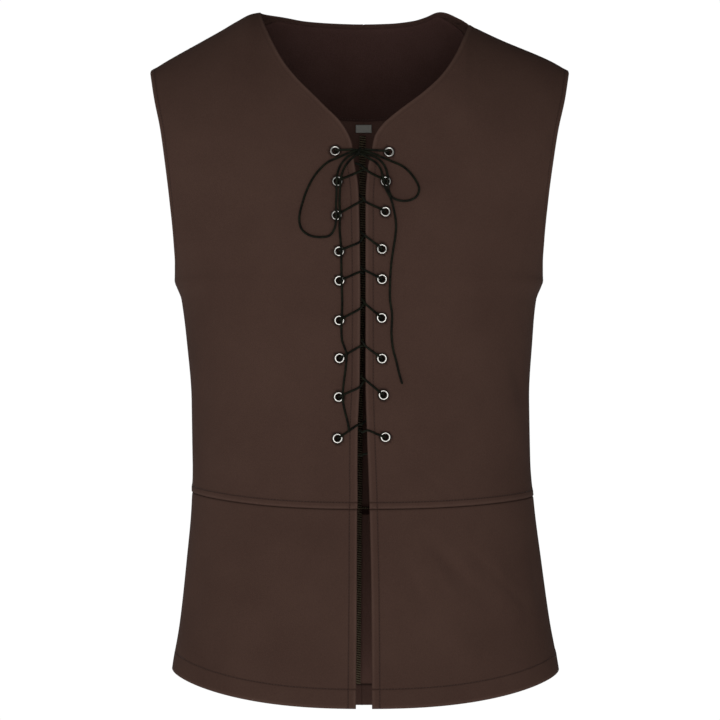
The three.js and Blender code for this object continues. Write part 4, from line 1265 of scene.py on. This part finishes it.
# Spun polyester thread, matched to the cloth: twisted, with a faint shine along each stitch.
thread_finish, thread_tree, thread_shader = new_finish("spun_polyester_thread", Roughness=0.6)
thread_shader.inputs["Specular IOR Level"].default_value = 0.3
thread_twist = grain(thread_tree, 2200, 2)
thread_tone = two_tones(thread_tree, thread_twist, "#2c1b17", "#3f2a24", 0.35, 0.7)
thread_tree.links.new(thread_tone, thread_shader.inputs["Base Color"])
relief(thread_tree, thread_shader, thread_twist, 0.5, 0.0001)


def places_along(line, run, at):
    return np.stack([np.interp(at, run, line[:, k]) for k in range(3)], -1)


def stitch_row(line, normals, lift, start, end):
    """Points and faces of a row of stitches, like grains of rice end to end along a line."""
    run = distances_along(line)
    count = int((end - start) // STITCH_PITCH)
    if count < 1:
        return np.zeros((0, 3)), np.zeros((0, 4), int)
    spacing = (end - start) / count
    begins = start + spacing * (np.arange(count) + 0.12)
    parts, sizes, dips = np.array(STITCH_RINGS).T
    at = begins[:, None] + parts[None, :] * STITCH_LENGTH
    centres = places_along(line, run, at.ravel())
    ups = unit(places_along(normals, run, at.ravel()))
    ways = places_along(line, run, at.ravel() + 0.4) - places_along(line, run, at.ravel() - 0.4)
    ways = unit(ways)
    asides = unit(np.cross(ways, ups))
    centres = centres + ups * (lift + np.tile(dips, count))[:, None]
    turn = np.arange(THREAD_SIDES) / THREAD_SIDES * 2 * np.pi
    rings = (
        np.cos(turn)[None, :, None] * ups[:, None, :]
        + np.sin(turn)[None, :, None] * asides[:, None, :]
    )
    rings = centres[:, None, :] + rings * (np.tile(sizes, count) * THREAD / 2)[:, None, None]
    index = np.arange(count * len(parts) * THREAD_SIDES).reshape(count, len(parts), THREAD_SIDES)
    following = np.roll(index, -1, axis=2)
    quads = np.stack(
        [index[:, :-1], following[:, :-1], following[:, 1:], index[:, 1:]], -1
    ).reshape(-1, 4)
    return rings.reshape(-1, 3), quads


for name, panel in PANELS.items():
    sewn_points, sewn_faces, count = [], [], 0
    for where, kind, line, line_normals in panel["stitches"]:
        start, end = STITCH_END, line_length(line) - STITCH_END
        if kind == "opening" and name.startswith("front"):
            start = float(np.interp(STITCHED_BELOW, -line[:, 2], distances_along(line)))
        if kind in ("band", "hem") and "front" in name:
            start = EDGES["opening"]["stitch"] + 0.5
        lift = EDGES[kind]["layers"] - EDGES[kind]["sink"] + STITCH_STANDS
        points, faces = stitch_row(line, line_normals, lift, start, end)
        sewn_points.append(points)
        sewn_faces.append(faces + count)
        count += len(points)
    sewn = new_piece(
        "topstitching_" + name, np.concatenate(sewn_points), np.concatenate(sewn_faces), thread_finish
    )

# Overcast seam allowances: inside each seam both plies' edges are trimmed and overcast together
# with looping thread, then pressed to one side. Down the middle of the back they show through
# the opening as a narrow ladder.
PLIES = 1.1
ALLOWANCE_GAP = 0.06
ALLOWANCE_COLUMNS = 8
OVERCAST_PITCH = 2.6
OVERCAST_THREAD = 0.7
OVERCAST_SLANT = 0.45
OVERCAST_SIDES = 5
# The plies' cut edges: the same suede, painted almost black as painted shade under the
# thread over it.
shaded_cut_edge = suede_finish("overcast_cut_edge", "#1c100d", "#2a1915", 0.0003)
# Overcasting thread: fluffy textured nylon of a brownish olive. It is drawn 0.7 mm thick, about
# twice the real one, so that each loop shows.
overcast_finish, overcast_tree, overcast_shader = new_finish("textured_nylon_thread", Roughness=0.75)
overcast_fluff = grain(overcast_tree, 1500, 3)
overcast_tone = two_tones(overcast_tree, overcast_fluff, "#3e3626", "#5f543a", 0.3, 0.7)
overcast_tree.links.new(overcast_tone, overcast_shader.inputs["Base Color"])
relief(overcast_tree, overcast_shader, overcast_fluff, 0.7, 0.0001)


def overcast(name, top, inward, both_edges=False):
    """Looping thread over the free edge, the last column, of a strip's showing face."""
    run = distances_along(top[:, top.shape[1] // 2])
    count = int(run[-1] // OVERCAST_PITCH)
    loops = []
    edge = top[:, -1] + inward[:, -1] * 0.05
    root = top[:, 0] if both_edges else top[:, -4]
    for k in range(count):
        at = (k + np.array([0.36, 0.5, 0.64])) * run[-1] / count
        outer = places_along(edge, run, at + OVERCAST_SLANT)
        inner = places_along(root, run, at - OVERCAST_SLANT)
        way = unit(places_along(inward[:, -1], run, at))
        aside = unit(outer - inner)
        loops += [
            inner[0] + way[0] * 0.2,
            outer[0] + way[0] * 0.2,
            outer[1] + aside[1] * 0.3 - way[1] * PLIES / 2,
            outer[2] - way[2] * 0.1,
            inner[2] + way[2] * 0.35 - aside[2] * 0.4,
        ]
    points, faces = tube_rings(np.array(loops), OVERCAST_THREAD / 2, OVERCAST_SIDES)
    piece = new_piece(name, points, faces, overcast_finish)


def allowance_strip(name, panel, where, first, last, columns):
    """Both plies of a seam's allowance, against the inside of a panel by one of its edges."""
    points, normals, inner = (
        turned_view(panel[key], where)[first : last + 1, :columns]
        for key in ("points", "normals", "inner")
    )
    against = points + normals * (inner - ALLOWANCE_GAP)[..., None]
    showing = points + normals * (inner - ALLOWANCE_GAP - PLIES)[..., None]
    piece = shell(name, against, showing, [shaded_cut_edge])
    overcast(name + "_thread", showing, -normals)


# Each strip stops short of its seam's ends, apart from the waist's at the centre back.
for hand, side in SIDES.items():
    back, front = PANELS[f"back_{hand}"], PANELS[f"front_{hand}"]
    under = back["pins"]["right"][0]
    neck = back["pins"]["top"][0]
    rows, columns = back["points"].shape[:2]
    allowance_strip(
        f"side_allowance_{hand}", back, "right", under + 6, rows - 12, ALLOWANCE_COLUMNS + 7
    )
    allowance_strip(
        f"shoulder_allowance_{hand}", back, "top", neck + 5, columns - 10, ALLOWANCE_COLUMNS
    )
    for panel in (front, back):
        start = 20 if panel is front else 0
        allowance_strip(
            f"waist_allowance_{panel['name']}", panel, "bottom", start, columns - 4, ALLOWANCE_COLUMNS + 6
        )
    low = PANELS[f"waist_back_{hand}"]
    allowance_strip(
        f"low_side_allowance_{hand}", low, "right", 5, low["points"].shape[0] - 16, ALLOWANCE_COLUMNS
    )

# The ladder down the centre back: its middle strays across the seam as it was pressed.
LADDER = table(
    ["height", "across", "width"],
    [
        [-693.5, -4.5, 4.4], [-686, -4.4, 4.4], [-512, -3.3, 4.8], [-424, -2.7, 5.2],
        [-300, -0.8, 5.8], [-217, 1.1, 6.2], [-120, 0, 6.4], [-92, 0.4, 6.4],
    ],
)
LADDER_STEP = 2.6
LADDER_GAP = 0.1
LADDER_COLUMNS = [0, 0.08, 0.25, 0.5, 0.75, 0.92, 1]


def back_cloth(across, heights):
    """Places on the back's outer face by their distance across, and directions out there."""
    down = down_at(ridge_at(across) - heights)
    right, left = (
        cloth_places(BACK, side, angle_at(side, across, heights), down) for side in (RIGHT, LEFT)
    )
    on_right = (across < section_at(heights)[3])[..., None]
    return [np.where(on_right, *pair) for pair in zip(right, left)]


heights = np.arange(LADDER["height"][-1], LADDER["height"][0], -LADDER_STEP)[:, None]
across = read(LADDER, "height", "across", heights)
across = across + read(LADDER, "height", "width", heights) * (np.array(LADDER_COLUMNS) - 0.5)
ladder_points, ladder_normals = back_cloth(across, heights + 0 * across)
ladder_against = ladder_points - ladder_normals * (CLOTH + LADDER_GAP)
ladder_showing = ladder_points - ladder_normals * (CLOTH + LADDER_GAP + PLIES)
ladder = shell("centre_back_allowance", ladder_against, ladder_showing, [shaded_cut_edge])
overcast("centre_back_allowance_thread", ladder_showing, -ladder_normals, both_edges=True)

# Back neck facing: a half moon of the same suede, right side inwards, seamed to the neck's
# edge and left free along its curve, which is turned under and edge stitched.
FACING = {"thick": 1.0, "bottom": -77, "ends": 20, "curve_half": 140, "below": 2.5, "ridge": 9}
# Its sewing's grooves, of which the curve's has thread in it: how far in, how deep, how wide.
CURVE_STITCH = {"in": 2.3, "sink": 0.3, "width": STITCH_WIDTH}
NECK_STITCH = {"in": 5, "sink": 0.15, "width": 0.8}
FACING_COLUMNS = 74
FACING_ROWS = 26
NEAR_CURVE = [0, 0.2, 0.5, 0.9, 1.5, 2.1, 2.6, 3.2, 4.2, 6]
facing_low, facing_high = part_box("back_neck_facing")
across = np.linspace(facing_low[0] * 1000, facing_high[0] * 1000, FACING_COLUMNS)
on_neck = (across > NECK_POINT[RIGHT]) & (across < NECK_POINT[LEFT])
neck_edge = np.where(on_neck, read(BACK_NECK, "across", "height", across), ridge_at(across))
top = np.minimum(neck_edge - FACING["below"], ridge_at(across) - FACING["ridge"])
curve = np.sqrt(1 - (across / FACING["curve_half"]) ** 2)
bottom = FACING["ends"] + (FACING["bottom"] - FACING["ends"]) * curve
even = np.linspace(0, 1, FACING_ROWS)[:, None]
close_rows = bottom + np.array(NEAR_CURVE)[-2::-1, None]
heights = np.concatenate([top + (bottom + NEAR_CURVE[-1] - top) * even, close_rows])
facing_points, facing_normals = back_cloth(across + 0 * heights, heights)
off_curve = distance_to(facing_points[-1], facing_points)
off_neck = distance_to(facing_points[0], facing_points)
facing_groove = np.zeros(off_curve.shape)
for off, row in ((off_curve, CURVE_STITCH), (off_neck, NECK_STITCH)):
    facing_groove += row["sink"] * bell((off - row["in"]) / row["width"])
facing_lift = -(CLOTH + SEAM_GAP)
# The facing's nap is turned to the wearer. It lies in the dark of the neck, and its colour is
# drawn darker than the face's, as painted shade.
facing_suede_shaded = suede_finish("dark_brown_faux_suede_facing_painted_shade", "#34231f", "#3e2c29", 0.0005)
facing = shell(
    "half_moon_facing",
    facing_points + facing_normals * facing_lift,
    facing_points
    + facing_normals * (facing_lift - FACING["thick"] + facing_groove)[..., None],
    [facing_suede_shaded],
)
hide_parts("back_neck_facing")
facing_line = np.array(
    [
        [np.interp(CURVE_STITCH["in"], off, column[:, k]) for k in range(3)]
        for off, column in zip(off_curve[::-1].T, facing_points[::-1].transpose(1, 0, 2))
    ]
)
facing_out = -facing_normals[-5]
facing_ends = 3, line_length(facing_line) - 3
points, faces = stitch_row(
    facing_line, facing_out, -facing_lift + FACING["thick"] - 0.16, *facing_ends
)
facing_stitches = new_piece("topstitching_facing", points, faces, thread_finish)

# Size label: a folded loop of light grey woven ribbon, sewn on under the facing. It is blank.
LABEL = {"across": 1.6, "height": -84.6, "width": 17.5, "tall": 8.8, "thick": 0.8}
LABEL_COLUMNS = 31
LABEL_ROWS = 17
LABEL_WAVE = 0.12
LABEL_CURL = 0.25
# Woven polyester ribbon: fine ribs across it, each 0.5 mm, with warp threads between them.
RIBS = 0.0005
ribbon, ribbon_tree, ribbon_shader = new_finish("woven_polyester_ribbon", Roughness=0.7)
ribbon_place = add_node(ribbon_tree, "ShaderNodeTexCoord").outputs["Object"]
ribbon_waves = []
for direction, distortion in (("Z", 0.4), ("X", 0.6)):
    sockets = {"Vector": ribbon_place, "Scale": 1 / RIBS / 20 * math.pi, "Distortion": distortion}
    wave = add_node(
        ribbon_tree, "ShaderNodeTexWave", sockets, wave_type="BANDS", bands_direction=direction
    )
    ribbon_waves.append(wave.outputs["Fac"])
ribbon_weave = combine(ribbon_tree, "MULTIPLY", *ribbon_waves)
ribbon_tone = two_tones(ribbon_tree, ribbon_weave, "#807f79", "#9c9b95")
ribbon_tree.links.new(ribbon_tone, ribbon_shader.inputs["Base Color"])
relief(ribbon_tree, ribbon_shader, ribbon_weave, 0.5, 0.00012)

label_columns = LABEL["across"] + LABEL["width"] * (np.linspace(0, 1, LABEL_COLUMNS) - 0.5)
label_rows = LABEL["height"] + LABEL["tall"] * (0.5 - np.linspace(0, 1, LABEL_ROWS))
across, heights = np.meshgrid(label_columns, label_rows)
label_points, label_normals = back_cloth(across, heights)
down_label = np.linspace(0, 1, LABEL_ROWS)[:, None]
label_wave = LABEL_WAVE * np.sin(across * 0.5) * down_label
label_showing = -(CLOTH + SEAM_GAP + LABEL["thick"]) - LABEL_CURL * ease(down_label) + label_wave
label = shell(
    "blank_size_label",
    label_points - label_normals * (CLOTH + SEAM_GAP),
    label_points + label_normals * label_showing[..., None],
    [ribbon],
)
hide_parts("size_label")

# Eyelets: nine pairs of two-part eyelets, pressed from brass and nickel plated. The flange is
# domed, its barrel goes through the cloth, and is rolled over a washer inside.
EYELET_SIDES = 40
# Sections of the flange with its barrel, and of the washer: radius, and height off the cloth.
FLANGE = [
    (2.72, -2.3), (2.72, -0.5), (2.84, -0.1), (3.0, 0.3), (3.2, 0.62), (3.5, 0.9), (3.9, 1.12),
    (4.3, 1.2), (4.7, 1.1), (5.0, 0.82), (5.2, 0.42), (5.3, -0.05), (5.15, -0.3), (4.85, -0.12),
    (4.4, 0.2), (3.9, 0.2), (3.4, -0.1), (3.1, -0.6), (3.1, -2.0), (3.25, -2.5), (3.6, -2.75),
    (3.95, -2.72), (4.0, -2.95), (3.6, -3.02), (3.1, -2.9), (2.8, -2.65),
]
WASHER = [
    (3.35, -1.95), (4.3, -1.95), (4.65, -2.1), (4.7, -2.35), (4.5, -2.55), (4.1, -2.6),
    (3.5, -2.45), (3.35, -2.3),
]
# Bright nickel plate on pressed brass: smooth, faintly rippled by the press, and a little dull
# where fingers and the lace have rubbed it.
nickel, nickel_tree, nickel_shader = new_finish("bright_nickel_plate", Metallic=1.0)
nickel_rub = grain(nickel_tree, 700, 5, 0.7)
nickel_rough = add_node(
    nickel_tree, "ShaderNodeMapRange", {"Value": nickel_rub, "To Min": 0.12, "To Max": 0.34}
)
nickel_tree.links.new(nickel_rough.outputs["Result"], nickel_shader.inputs["Roughness"])
nickel_tone = two_tones(nickel_tree, nickel_rub, "#8f8d88", "#bfbdb8", 0.3, 0.7)
nickel_tree.links.new(nickel_tone, nickel_shader.inputs["Base Color"])
relief(nickel_tree, nickel_shader, nickel_rub, 0.15, 0.0001)


def turned_ring(section):
    """A closed ring drawn round from its section, ring after ring."""
    bpy.ops.object.select_all(action="DESELECT")
    first = section[0]
    bpy.ops.mesh.primitive_circle_add(
        vertices=EYELET_SIDES, radius=first[0] / 1000, location=(0, 0, first[1] / 1000)
    )
    bpy.ops.object.transform_apply(location=True, rotation=False, scale=False)
    bpy.ops.object.mode_set(mode="EDIT")
    bpy.ops.mesh.select_all(action="SELECT")
    for before, after in zip(section, section[1:] + [first]):
        climb = {"value": (0, 0, (after[1] - before[1]) / 1000)}
        bpy.ops.mesh.extrude_region_move(TRANSFORM_OT_translate=climb)
        wider = after[0] / before[0]
        bpy.ops.transform.resize(value=(wider, wider, 1), center_override=(0, 0, 0))
    bpy.ops.mesh.select_all(action="SELECT")
    bpy.ops.mesh.remove_doubles(threshold=0.000004)
    bpy.ops.mesh.normals_make_consistent(inside=False)
    bpy.ops.object.mode_set(mode="OBJECT")
    return bpy.context.object


flange, washer = turned_ring(FLANGE), turned_ring(WASHER)
bpy.ops.object.select_all(action="DESELECT")
washer.select_set(True)
flange.select_set(True)
bpy.context.view_layer.objects.active = flange
bpy.ops.object.join()
pattern = bpy.context.object
bpy.ops.object.shade_smooth_by_angle(angle=math.radians(50))
pattern.data.materials.append(nickel)
for hand, side in SIDES.items():
    points, normals = eyelet_places(side)
    for number, (point, normal) in enumerate(zip(points, normals), 1):
        mesh = pattern.data.copy()
        turn = Vector((0, 0, 1)).rotation_difference(Vector(normal)).to_matrix().to_4x4()
        mesh.transform(Matrix.Translation(point / 1000) @ turn)
        eyelet = bpy.data.objects.new(f"nickel_eyelet_{hand}_{number}", mesh)
        scene.collection.objects.link(eyelet)
        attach(eyelet, "root")
        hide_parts(f"eyelet_{hand}_{number}")
bpy.data.objects.remove(pattern)
